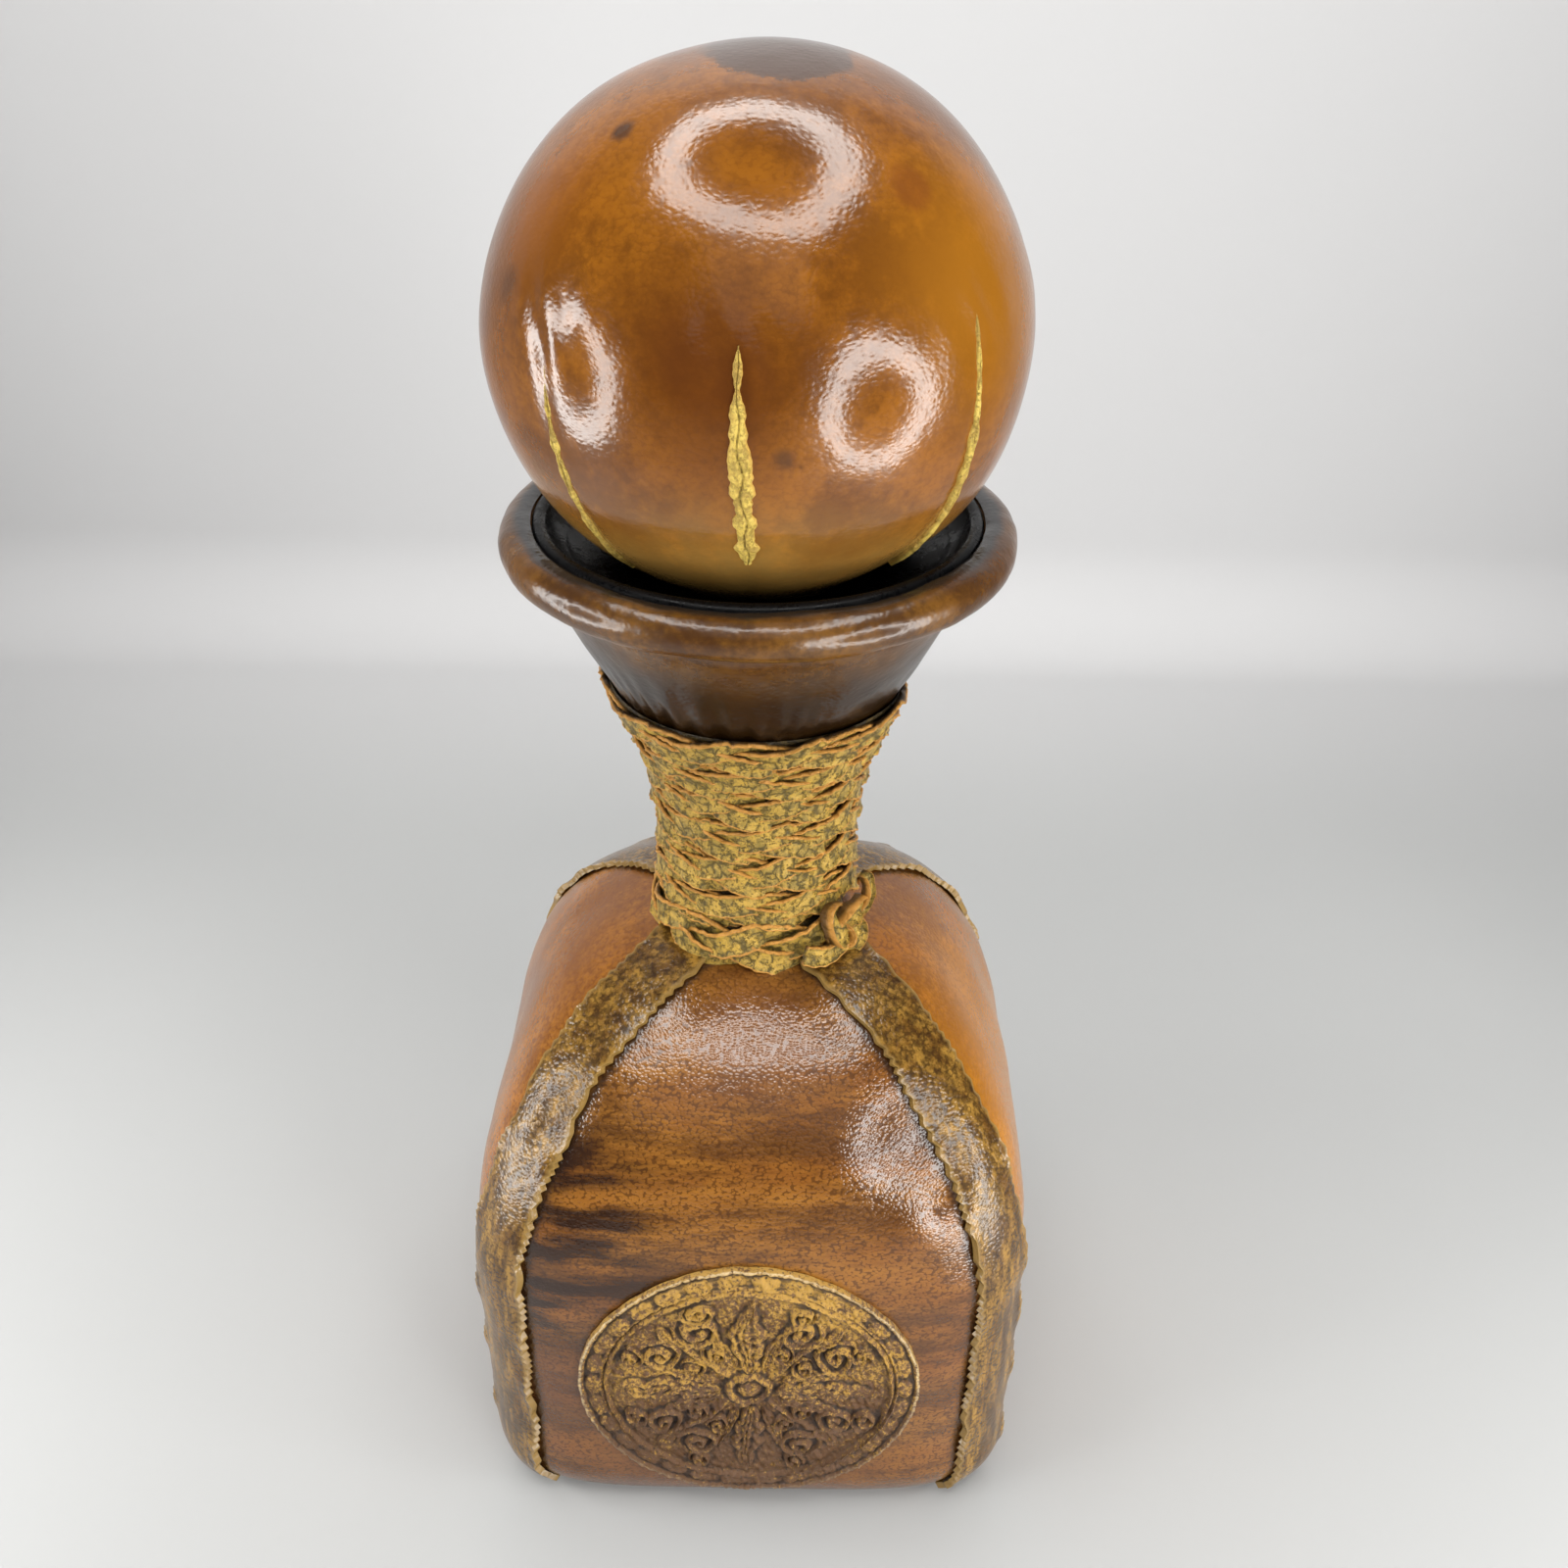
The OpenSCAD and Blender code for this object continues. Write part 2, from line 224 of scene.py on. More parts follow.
@dataclass
class Shape:
    """Points, faces and the values that its material reads at each point."""

    points: Array
    faces: list[Array]
    layers: dict[str, Array] = field(default_factory=dict)

    def volume(self) -> float:
        """Works out the enclosed volume.

        Returns:
            The volume, negative where the faces point inwards.
        """
        total = 0.0
        for faces in self.faces:
            a = self.points[faces[:, 0]]
            for k in range(1, faces.shape[1] - 1):
                b, c = self.points[faces[:, k]], self.points[faces[:, k + 1]]
                total += float(np.einsum("ij,ij->", a, np.cross(b, c))) / 6
        return total

    def outward(self) -> "Shape":
        """Turns the faces over where they point inwards."""
        if self.volume() < 0:
            self.faces = [faces[:, ::-1] for faces in self.faces]
        return self


def slab(outer: Array, inner: Array, layers: dict[str, Array] | None = None) -> Shape:
    """Closes the space between two grids of points with a rim.

    Args:
        outer: Grid of shape (rows, cols, 3).
        inner: Grid of the same shape, behind it.
        layers: Values over the outer grid, which the inner one repeats.

    Returns:
        The closed shape.
    """
    rows, cols = outer.shape[:2]
    count = rows * cols
    index = np.arange(count).reshape(rows, cols)
    edge = np.concatenate([index[0, :-1], index[:-1, -1], index[-1, :0:-1], index[:0:-1, 0]])
    after = np.roll(edge, -1)
    front = grid_quads(rows, cols)
    rim = np.stack([edge, after, after + count, edge + count], -1)
    points = np.concatenate([outer.reshape(-1, 3), inner.reshape(-1, 3)])
    doubled = {name: np.tile(value.ravel(), 2) for name, value in (layers or {}).items()}
    return Shape(points, [np.concatenate([front, front[:, ::-1] + count, rim])], doubled).outward()


def ring_solid(grid: Array, layers: dict[str, Array] | None = None) -> Shape:
    """Closes a grid that wraps both ways, such as a closed profile turned about the axis."""
    rows, cols = grid.shape[:2]
    flat = {name: value.ravel() for name, value in (layers or {}).items()}
    return Shape(grid.reshape(-1, 3), [grid_quads(rows, cols, True, True)], flat).outward()


def turned(profile: Array, count: int) -> tuple[Array, Array]:
    """Turns a profile about the axis.

    Args:
        profile: Points (radius, height).
        count: Steps round the axis.

    Returns:
        The grid of points, one row for each profile point, and the angles.
    """
    angle = full_turn(count)
    radius, height = profile[:, :1], profile[:, 1:]
    around = [radius * np.cos(angle), radius * np.sin(angle), height + 0 * angle]
    return np.stack(around, -1), angle


def swept(centre: Array, side: Array, up: Array, section: Array, layers: dict[str, Array]) -> Shape:
    """Carries a closed section along a path and closes both ends.

    Args:
        centre: Points of the path, (n, 3).
        side: Direction of the section's first axis at each point.
        up: Direction of its second axis.
        section: Section, (m, 2) or, where it changes along the path, (n, m, 2).
        layers: Values over the (n, m) grid.

    Returns:
        The closed shape.
    """
    section = np.broadcast_to(section, (len(centre),) + section.shape[-2:])
    grid = centre[:, None] + section[..., :1] * side[:, None] + section[..., 1:] * up[:, None]
    rows, cols = grid.shape[:2]
    ends = np.stack([np.arange(cols), rows * cols - 1 - np.arange(cols)])
    flat = {name: np.broadcast_to(value, (rows, cols)).ravel() for name, value in layers.items()}
    return Shape(grid.reshape(-1, 3), [grid_quads(rows, cols, False, True), ends], flat).outward()


def joined(shapes: list[Shape]) -> Shape:
    """Puts several shapes into one.

    Args:
        shapes: The shapes, with the same layers.

    Returns:
        The one shape.
    """
    starts = np.cumsum([0] + [len(s.points) for s in shapes[:-1]])
    faces = [f + start for s, start in zip(shapes, starts) for f in s.faces]
    layers = {name: np.concatenate([s.layers[name] for s in shapes]) for name in shapes[0].layers}
    return Shape(np.concatenate([s.points for s in shapes]), faces, layers)


def add_piece(
    name: str, shape: Shape, material: bpy.types.Material, body: Body,
    replaces: tuple[str, ...] = (), sharp: float = 50.0,
) -> bpy.types.Object:
    """Makes a piece of the object.

    Args:
        name: Name of the piece.
        shape: Its closed shape, in place.
        material: Its material.
        body: The body that it rides on.
        replaces: The CAD nodes that it stands for.
        sharp: Angle in degrees past which an edge is sharp.

    Returns:
        The new object.
    """
    mesh = bpy.data.meshes.new(name)
    mesh.vertices.add(len(shape.points))
    mesh.vertices.foreach_set("co", shape.points.astype(np.float32).ravel())
    corners = np.concatenate([faces.ravel() for faces in shape.faces]).astype(np.int32)
    sizes = np.concatenate([np.full(len(faces), faces.shape[1]) for faces in shape.faces])
    mesh.loops.add(len(corners))
    mesh.loops.foreach_set("vertex_index", corners)
    mesh.polygons.add(len(sizes))
    starts = np.concatenate([[0], np.cumsum(sizes)[:-1]]).astype(np.int32)
    mesh.polygons.foreach_set("loop_start", starts)
    mesh.update(calc_edges=True)
    mesh.validate()
    mesh.shade_smooth()
    mesh.set_sharp_from_angle(angle=math.radians(sharp))
    for layer, value in shape.layers.items():
        attribute = mesh.attributes.new(layer, "FLOAT", "POINT")
        attribute.data.foreach_set("value", value.astype(np.float32))
    mesh.materials.append(material)
    piece = bpy.data.objects.new(name, mesh)
    bpy.context.scene.collection.objects.link(piece)
    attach(piece, body.value)
    if replaces:
        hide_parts(*replaces)
    LOG.info("%s: %d faces on %s", name, len(sizes), body.value)
    return piece


# ---------------------------------------------------------------- shader building


@dataclass
class Graph:
    """Adds nodes to one node tree and joins them."""

    tree: bpy.types.NodeTree

    def add(self, kind: str, feeds: dict | None = None, **settings: object) -> bpy.types.Node:
        """Adds a node.

        Args:
            kind: The node's type.
            feeds: A socket or a plain value for each named or numbered input.
            **settings: The node's own properties.

        Returns:
            The node.
        """
        node = self.tree.nodes.new(kind)
        for name, value in settings.items():
            setattr(node, name, value)
        self.feed(node, feeds or {})
        return node

    def feed(self, node: bpy.types.Node, feeds: dict) -> None:
        """Joins a socket to each input, or sets a plain value on it.

        Args:
            node: The node.
            feeds: A socket or a plain value for each named or numbered input.
        """
        for name, value in feeds.items():
            if isinstance(value, bpy.types.NodeSocket):
                self.tree.links.new(value, node.inputs[name])
            else:
                node.inputs[name].default_value = value

    def math(self, operation: str, a: object, b: object = 0.0) -> bpy.types.NodeSocket:
        """Gives the result of a Math node."""
        return self.add("ShaderNodeMath", {0: a, 1: b}, operation=operation).outputs[0]

    def blend(self, share: object, a: object, b: object) -> bpy.types.NodeSocket:
        """Gives a mix of two colours."""
        feeds = {0: share, 6: opaque(a), 7: opaque(b)}
        return self.add("ShaderNodeMix", feeds, data_type="RGBA").outputs[2]

    def step(
        self, value: object, low: float, high: float, start: float = 0.0, end: float = 1.0,
    ) -> bpy.types.NodeSocket:
        """Gives a smooth step of a value from start to end."""
        feeds = {0: value, 1: low, 2: high, 3: start, 4: end}
        return self.add("ShaderNodeMapRange", feeds, interpolation_type="SMOOTHSTEP").outputs[0]

    def noise(
        self, vector: object, scale: float, detail: float = 3.0, roughness: float = 0.5,
    ) -> bpy.types.NodeSocket:
        """Gives the value of a noise texture."""
        feeds = {"Vector": vector, "Scale": scale, "Detail": detail, "Roughness": roughness}
        return self.add("ShaderNodeTexNoise", feeds).outputs[0]

    def cells(self, vector: object, scale: float, feature: str = "F1") -> bpy.types.NodeSocket:
        """Gives the distance of a cell texture."""
        node = self.add("ShaderNodeTexVoronoi", {"Vector": vector, "Scale": scale}, feature=feature)
        return node.outputs["Distance"]

    def place(self) -> bpy.types.NodeSocket:
        """Gives the object's own coordinates."""
        return self.add("ShaderNodeTexCoord").outputs["Object"]

    def layer(self, name: str) -> bpy.types.NodeSocket:
        """Gives a value stored at the points of the mesh."""
        return self.add("ShaderNodeAttribute", attribute_name=name).outputs["Fac"]

    def group(self, name: str, feeds: dict) -> bpy.types.Node:
        """Adds one of the shared groups."""
        return self.add("ShaderNodeGroup", feeds, node_tree=bpy.data.node_groups[name])


def darkened(colour: Colour, share: float = PIT_SHADE) -> Colour:
    """Gives a colour times a share."""
    return tuple(share * part for part in colour)


def opaque(value: object) -> object:
    """Gives a colour its fourth number, and leaves a socket as it is."""
    return (*value, 1.0) if isinstance(value, tuple) and len(value) == 3 else value


def start_group(name: str, inputs: dict[str, float | None], outputs: list[str]) -> tuple[Graph, dict, dict]:
    """Starts a shader node group.

    Args:
        name: Name of the group.
        inputs: Default of each input, or None for the vector.
        outputs: Names of the output values.

    Returns:
        The group's graph, its input sockets and its output node's sockets, by name.
    """
    tree = bpy.data.node_groups.new(name, "ShaderNodeTree")
    for label, value in inputs.items():
        kind = "NodeSocketVector" if value is None else "NodeSocketFloat"
        socket = tree.interface.new_socket(label, in_out="INPUT", socket_type=kind)
        if value is not None:
            socket.default_value = value
    for label in outputs:
        tree.interface.new_socket(label, in_out="OUTPUT", socket_type="NodeSocketFloat")
    graph = Graph(tree)
    source, sink = graph.add("NodeGroupInput"), graph.add("NodeGroupOutput")
    return graph, dict(source.outputs.items()), dict(sink.inputs.items())


def build_grain_group() -> None:
    """Builds "grain": the pebbles of leather as a height, and the mask of the pores between them.

    Each cell is a low dome, the pores are where three cells meet, and a fine noise breaks
    the domes up.
    """
    inputs = {"Vector": None, "Scale": 900.0, "Fine": 0.3}
    graph, given, out = start_group("grain", inputs, ["Height", "Pores"])
    warp = graph.add("ShaderNodeTexNoise", {"Vector": given["Vector"], "Scale": 300.0, "Detail": 2.0})
    shift = graph.add("ShaderNodeVectorMath", {0: warp.outputs["Color"]}, operation="SCALE")
    shift.inputs["Scale"].default_value = 0.0010
    place = graph.add("ShaderNodeVectorMath", {0: given["Vector"], 1: shift.outputs[0]}, operation="ADD")
    long = graph.add("ShaderNodeMapping", {"Vector": place.outputs[0], "Scale": (0.8, 0.8, 1.1)})
    cell = graph.cells(long.outputs[0], 1.0, "F1")
    graph.tree.links.new(given["Scale"], cell.node.inputs["Scale"])
    fine = graph.noise(place.outputs[0], 2600.0, 2.0)
    swell = graph.step(cell, 0.05, 0.75, 1.0, 0.0)
    height = graph.math("ADD", swell, graph.math("MULTIPLY", fine, given["Fine"]))
    graph.tree.links.new(height, out["Height"])
    graph.tree.links.new(graph.step(cell, 0.56, 0.74), out["Pores"])


def build_mottle_group() -> None:
    """Builds "mottle": soft patches of two sizes, as a mask from 0 to 1."""
    graph, given, out = start_group("mottle", {"Vector": None, "Scale": 40.0, "Fine": 0.35}, ["Patches"])
    broad = graph.noise(given["Vector"], 1.0, 4.0, 0.55)
    graph.tree.links.new(given["Scale"], broad.node.inputs["Scale"])
    small = graph.noise(given["Vector"], 1.0, 5.0, 0.65)
    graph.tree.links.new(graph.math("MULTIPLY", given["Scale"], 9.0), small.node.inputs["Scale"])
    lean = graph.math("MULTIPLY", graph.math("SUBTRACT", small, 0.5), given["Fine"])
    graph.tree.links.new(graph.step(graph.math("ADD", broad, lean), 0.34, 0.66), out["Patches"])


def build_speck_group() -> None:
    """Builds "specks": small irregular dots, as a mask from 0 to 1."""
    graph, given, out = start_group("specks", {"Vector": None, "Scale": 120.0, "Size": 0.12}, ["Dots"])
    cell = graph.cells(given["Vector"], 1.0, "F1")
    graph.tree.links.new(given["Scale"], cell.node.inputs["Scale"])
    rough = graph.noise(given["Vector"], 900.0, 2.0)
    ragged = graph.math("ADD", cell, graph.math("MULTIPLY", rough, 0.12))
    low = graph.math("SUBTRACT", ragged, given["Size"])
    graph.tree.links.new(graph.step(low, 0.0, 0.1, 1.0, 0.0), out["Dots"])


def start_material(name: str) -> tuple[bpy.types.Material, Graph, bpy.types.Node]:
    """Starts a material.

    Args:
        name: Name of the material.

    Returns:
        The material, its graph and its shader.
    """
    material = bpy.data.materials.new(name)
    material.use_nodes = True
    graph = Graph(material.node_tree)
    return material, graph, material.node_tree.nodes["Principled BSDF"]


@dataclass(frozen=True)
class ColourPatch:
    """A patch of another colour, where a ball of space with a ragged edge meets the leather, used for stains
    and, on some finishes, for painted light and shade.

    Attributes:
        centre: Middle of the ball.
        radius: Radius of the ball.
        colour: Colour of the patch.
        strength: Share of the colour at its middle.
        solid: Share of the radius over which it keeps its strength.
        ragged: How far its edge wanders, as a share of the radius.
    """

    centre: Point
    radius: float
    colour: Colour
    strength: float = 1.0
    solid: float = 0.2
    ragged: float = 0.6

    def mask(self, graph: Graph, place: bpy.types.NodeSocket) -> bpy.types.NodeSocket:
        """Builds the mask of the patch.

        Args:
            graph: The graph of the material.
            place: The object's own coordinates.

        Returns:
            The mask, from 0 outside to the patch's strength at its middle.
        """
        apart = graph.add("ShaderNodeVectorMath", {0: place, 1: self.centre}, operation="DISTANCE")
        away = graph.math("DIVIDE", apart.outputs["Value"], self.radius)
        noise = graph.math("SUBTRACT", graph.noise(place, 0.8 / self.radius, 6.0, 0.65), 0.5)
        size = graph.math("ADD", away, graph.math("MULTIPLY", noise, self.ragged))
        return graph.step(size, self.solid, 1.0, self.strength, 0.0)


@dataclass(frozen=True)
class LeatherFinish:
    """Polished leather: patches of three tones, a grain with darker pores, specks, stains, and on some
    finishes painted light, painted shade and a painted shadow beside the strips.

    Attributes:
        name: Name of the material.
        tone: Main colour.
        dark: Colour of the darker patches and pores.
        light: Colour of the lighter patches.
        patch: Number of patches in a metre.
        grain: Number of pebbles in a metre.
        grain_depth: Height of the pebbles.
        pores: Share of dark in the pores.
        gloss: Strength of the gloss, where 1 is a full polish.
        roughness: Roughness of the gloss.
        ior: Refraction of the polish, which sets how bright its gloss is.
        speck: Size of the specks, or 0 for none.
        smear: A patch where dark streaks run across, or None.
        colour_patches: Patches of other colours at chosen places: stains, and on some finishes painted light
            and shade.
        streak: Stretch of the patches along X, Y and Z.
        dye: Whether the "dye" layer blackens the leather.
        rim: Colour of a cut edge, where the "rim" layer is 1.
        grime: Colour of the painted shadow on a panel beside a strip, where the "grime" layer is 1.
    """

    name: str
    tone: Colour
    dark: Colour
    light: Colour
    patch: float = 38.0
    grain: float = 1150.0
    grain_depth: float = 0.05 * MM
    pores: float = 0.5
    gloss: float = 0.5
    roughness: float = 0.2
    ior: float = 1.5
    speck: float = 0.0
    smear: ColourPatch | None = None
    colour_patches: tuple[ColourPatch, ...] = ()
    streak: Point = (1.0, 1.0, 1.0)
    dye: bool = False
    rim: Colour | None = None
    grime: Colour | None = None

    def build(self) -> bpy.types.Material:
        """Builds the material.

        Returns:
            The material.
        """
        material, graph, shader = start_material(self.name)
        place = graph.place()
        stretched = graph.add("ShaderNodeMapping", {"Vector": place, "Scale": self.streak}).outputs[0]
        patches = graph.group("mottle", {"Vector": stretched, "Scale": self.patch}).outputs["Patches"]
        feeds = {"Vector": stretched, "Scale": self.patch * 2.1, "Fine": 0.6}
        other = graph.group("mottle", feeds).outputs["Patches"]
        colour = graph.blend(patches, self.tone, self.light)
        colour = graph.blend(graph.math("MULTIPLY", other, 0.75), colour, self.dark)
        grain = graph.group("grain", {"Vector": place, "Scale": self.grain})
        pores = graph.math("MULTIPLY", grain.outputs["Pores"], self.pores)
        colour = graph.blend(pores, colour, self.dark)
        if self.speck:
            dots = graph.group("specks", {"Vector": place, "Size": self.speck}).outputs["Dots"]
            colour = graph.blend(graph.math("MULTIPLY", dots, 0.6), colour, darkened(self.dark))
        if self.smear:
            drawn = graph.add("ShaderNodeMapping", {"Vector": place, "Scale": (0.12, 1.0, 1.0)}).outputs[0]
            lines = graph.step(graph.noise(drawn, 230.0, 4.0, 0.6), 0.38, 0.60)
            share = graph.math("MULTIPLY", lines, self.smear.mask(graph, place))
            colour = graph.blend(share, colour, self.smear.colour)
        # Stains, and on some finishes patches of painted light and shade.
        for colour_patch in self.colour_patches:
            colour = graph.blend(colour_patch.mask(graph, place), colour, colour_patch.colour)
        # Painted shadow: darkens the panel along each strip's edge.
        if self.grime:
            colour = graph.blend(graph.layer("grime"), colour, self.grime)
        if self.rim:
            colour = graph.blend(graph.layer("rim"), colour, self.rim)
        # Blackens the roll's inner side, under the ball.
        if self.dye:
            colour = graph.blend(graph.layer("dye"), colour, ROLL_BLACK)
        feeds = {"Height": graph.noise(place, 160.0, 3.0), "Distance": 0.12 * MM}
        wide = graph.add("ShaderNodeBump", feeds).outputs[0]
        feeds = {"Height": grain.outputs["Height"], "Distance": self.grain_depth, "Normal": wide}
        graph.feed(shader, {
            "Base Color": colour, "Normal": graph.add("ShaderNodeBump", feeds).outputs[0],
            "Roughness": self.roughness, "IOR": self.ior, "Specular IOR Level": 0.5 * self.gloss})
        return material


@dataclass(frozen=True)
class RawEdgeFinish:
    """Leather whose face is one colour and whose cut edge, where "edge" is 1, is another, painted near black
    as shade where "hollow" is 1.

    Attributes:
        name: Name of the material.
        face: Main colour.
        shade: Colour of its patches.
        edge: Colour of the cut edge.
        roughness: Middle roughness.
        mottle: Number of patches in a metre.
        crackle: Share of dark in the cracks and pits.
        depth: Height of the relief.
    """

    name: str
    face: Colour
    shade: Colour
    edge: Colour
    roughness: float = 0.5
    mottle: float = 260.0
    crackle: float = 0.85
    depth: float = 0.22 * MM

    def build(self) -> bpy.types.Material:
        """Builds the material.

        Returns:
            The material.
        """
        material, graph, shader = start_material(self.name)
        place = graph.place()
        feeds = {"Vector": place, "Scale": self.mottle, "Fine": 0.8}
        patches = graph.group("mottle", feeds).outputs["Patches"]
        grit = graph.noise(place, 2600.0, 3.0, 0.7)
        colour = graph.blend(patches, self.face, self.shade)
        feeds = {"Vector": place, "Scale": 700.0, "Detail": 2.0}
        bent = graph.add("ShaderNodeTexNoise", feeds).outputs["Color"]
        bent = graph.add("ShaderNodeVectorMath", {0: bent, 3: 0.0016}, operation="SCALE").outputs[0]
        bent = graph.add("ShaderNodeVectorMath", {0: bent, 1: place}, operation="ADD").outputs[0]
        lines = graph.step(graph.cells(bent, 460.0, "DISTANCE_TO_EDGE"), 0.0, 0.17, 1.0, 0.0)
        pits = graph.step(graph.noise(place, 1500.0, 3.0, 0.7), 0.54, 0.66)
        crackle = graph.math("MAXIMUM", pits, graph.math("MULTIPLY", lines, graph.step(patches, 0.1, 0.6)))
        share = graph.math("MULTIPLY", crackle, self.crackle)
        colour = graph.blend(share, colour, darkened(self.shade, 0.22))
        wander = graph.math("MULTIPLY", graph.math("SUBTRACT", grit, 0.5), 0.9)
        edge = graph.step(graph.math("ADD", graph.layer("edge"), wander), 0.45, 0.85)
        colour = graph.blend(edge, colour, self.edge)
        # Painted shade where the "hollow" layer is set.
        colour = graph.blend(graph.layer("hollow"), colour, PAINTED_SHADE_BLACK)
        height = graph.math("SUBTRACT", grit, graph.math("MULTIPLY", crackle, 0.6))
        relief = graph.add("ShaderNodeBump", {"Height": height, "Distance": self.depth, "Strength": 1.0})
        rough = graph.step(patches, 0.0, 1.0, self.roughness - 0.08, self.roughness + 0.08)
        graph.feed(shader, {
            "Base Color": colour, "Roughness": rough, "Normal": relief.outputs[0],
            "Specular IOR Level": 0.25})
        return material


@dataclass(frozen=True)
class GiltFinish:
    """Embossed leather, dark in its hollows and dusted with gold, more so towards its top.

    Attributes:
        name: Name of the material.
        hollow: Colour of the hollows.
        tone: Colour of the bare leather.
        rubbed: Colour of the gold.
        rim_highlight: Colour of the pale cut rim, painted brighter as a highlight that fades towards the
            bottom.
        middle: Height about which the gold fades.
        fade: Distance over which it fades.
    """

    name: str
    hollow: Colour
    tone: Colour
    rubbed: Colour
    rim_highlight: Colour
    middle: float = 40 * MM
    fade: float = 66 * MM

    def build(self) -> bpy.types.Material:
        """Builds the material.

        Returns:
            The material.
        """
        material, graph, shader = start_material(self.name)
        place = graph.place()
        relief = graph.layer("relief")
        grit = graph.noise(place, 1500.0, 5.0, 0.75)
        broad = graph.math("MULTIPLY", graph.math("SUBTRACT", graph.noise(place, 75.0, 4.0, 0.6), 0.5), 1.6)
        height = graph.add("ShaderNodeSeparateXYZ", {0: place}).outputs[2]
        rise = graph.math("DIVIDE", graph.math("SUBTRACT", height, self.middle), self.fade)
        lean = graph.math("ADD", broad, rise)
        soil = graph.math("ADD", graph.layer("crease"), graph.math("MULTIPLY", grit, 0.9))
        deep = graph.step(soil, 0.64, 1.08)
        dust = graph.math("ADD", graph.math("MULTIPLY", relief, 0.10), graph.math("MULTIPLY", lean, 0.70))
        dust = graph.math("ADD", dust, graph.math("MULTIPLY", grit, 3.2))
        colour = graph.blend(graph.step(dust, 1.62, 1.96), self.tone, self.rubbed)
        colour = graph.blend(graph.math("MULTIPLY", deep, 0.9), colour, self.hollow)
        specks = graph.group("specks", {"Vector": place, "Scale": 800.0, "Size": 0.16}).outputs["Dots"]
        colour = graph.blend(graph.math("MULTIPLY", specks, 0.8), colour, darkened(self.hollow))
        # Painted highlight on the pale cut rim, fading out towards the bottom of the disc.
        rim = graph.math("MULTIPLY", graph.layer("edge"), graph.step(grit, 0.40, 0.50))
        rim = graph.math("MULTIPLY", rim, graph.step(rise, -0.35, 0.15, 0.2, 1.0))
        colour = graph.blend(rim, colour, self.rim_highlight)
        fine = graph.add("ShaderNodeBump", {"Height": grit, "Distance": 0.45 * MM, "Strength": 1.0})
        graph.feed(shader, {
            "Base Color": colour, "Roughness": graph.step(deep, 0.0, 1.0, 0.42, 0.6),
            "Normal": fine.outputs[0]})
        return material


@dataclass(frozen=True)
class PlasticFinish:
    """Smooth dark plastic with faint scuffs."""

    name: str
    colour: Colour
    scuffed: Colour

    def build(self) -> bpy.types.Material:
        """Builds the material.

        Returns:
            The material.
        """
        material, graph, shader = start_material(self.name)
        place = graph.place()
        scuffs = graph.group("mottle", {"Vector": place, "Scale": 150.0, "Fine": 0.8}).outputs["Patches"]
        colour = graph.blend(graph.math("MULTIPLY", scuffs, 0.5), self.colour, self.scuffed)
        graph.feed(shader, {
            "Base Color": colour, "Roughness": graph.step(scuffs, 0.0, 1.0, 0.22, 0.40),
            "Specular IOR Level": 0.1})
        return material


@dataclass(frozen=True)
class WoodFinish:
    """Turned wood or cork: upright fibres, with dark pits for cork."""

    name: str
    light: Colour
    dark: Colour
    pits: float

    def build(self) -> bpy.types.Material:
        """Builds the material.

        Returns:
            The material.
        """
        material, graph, shader = start_material(self.name)
        place = graph.place()
        long = graph.add("ShaderNodeMapping", {"Vector": place, "Scale": (1.0, 1.0, 0.12)}).outputs[0]
        grain = graph.noise(long, 420.0, 4.0, 0.6)
        colour = graph.blend(graph.step(grain, 0.35, 0.7), self.light, self.dark)
        dots = graph.group("specks", {"Vector": place, "Scale": 420.0, "Size": self.pits}).outputs["Dots"]
        colour = graph.blend(dots, colour, darkened(self.dark))
        height = graph.math("SUBTRACT", grain, dots)
        relief = graph.add("ShaderNodeBump", {"Height": height, "Distance": 0.15 * MM})
        graph.feed(shader, {
            "Base Color": colour, "Roughness": graph.step(grain, 0.0, 1.0, 0.5, 0.7),
            "Normal": relief.outputs[0]})
        return material


@dataclass(frozen=True)
class GlassFinish:
    """Clear bottle glass with a faint green cast and slow ripples."""

    name: str
    tint: Colour

    def build(self) -> bpy.types.Material:
        """Builds the material.

        Returns:
            The material.
        """
        material, graph, shader = start_material(self.name)
        slow = graph.noise(graph.place(), 60.0, 1.0)
        ripple = graph.add("ShaderNodeBump", {"Height": slow, "Distance": 0.1 * MM})
        graph.feed(shader, {
            "Base Color": opaque(self.tint), "Transmission Weight": 1.0, "IOR": 1.5,
            "Roughness": 0.03, "Normal": ripple.outputs[0]})
        return material


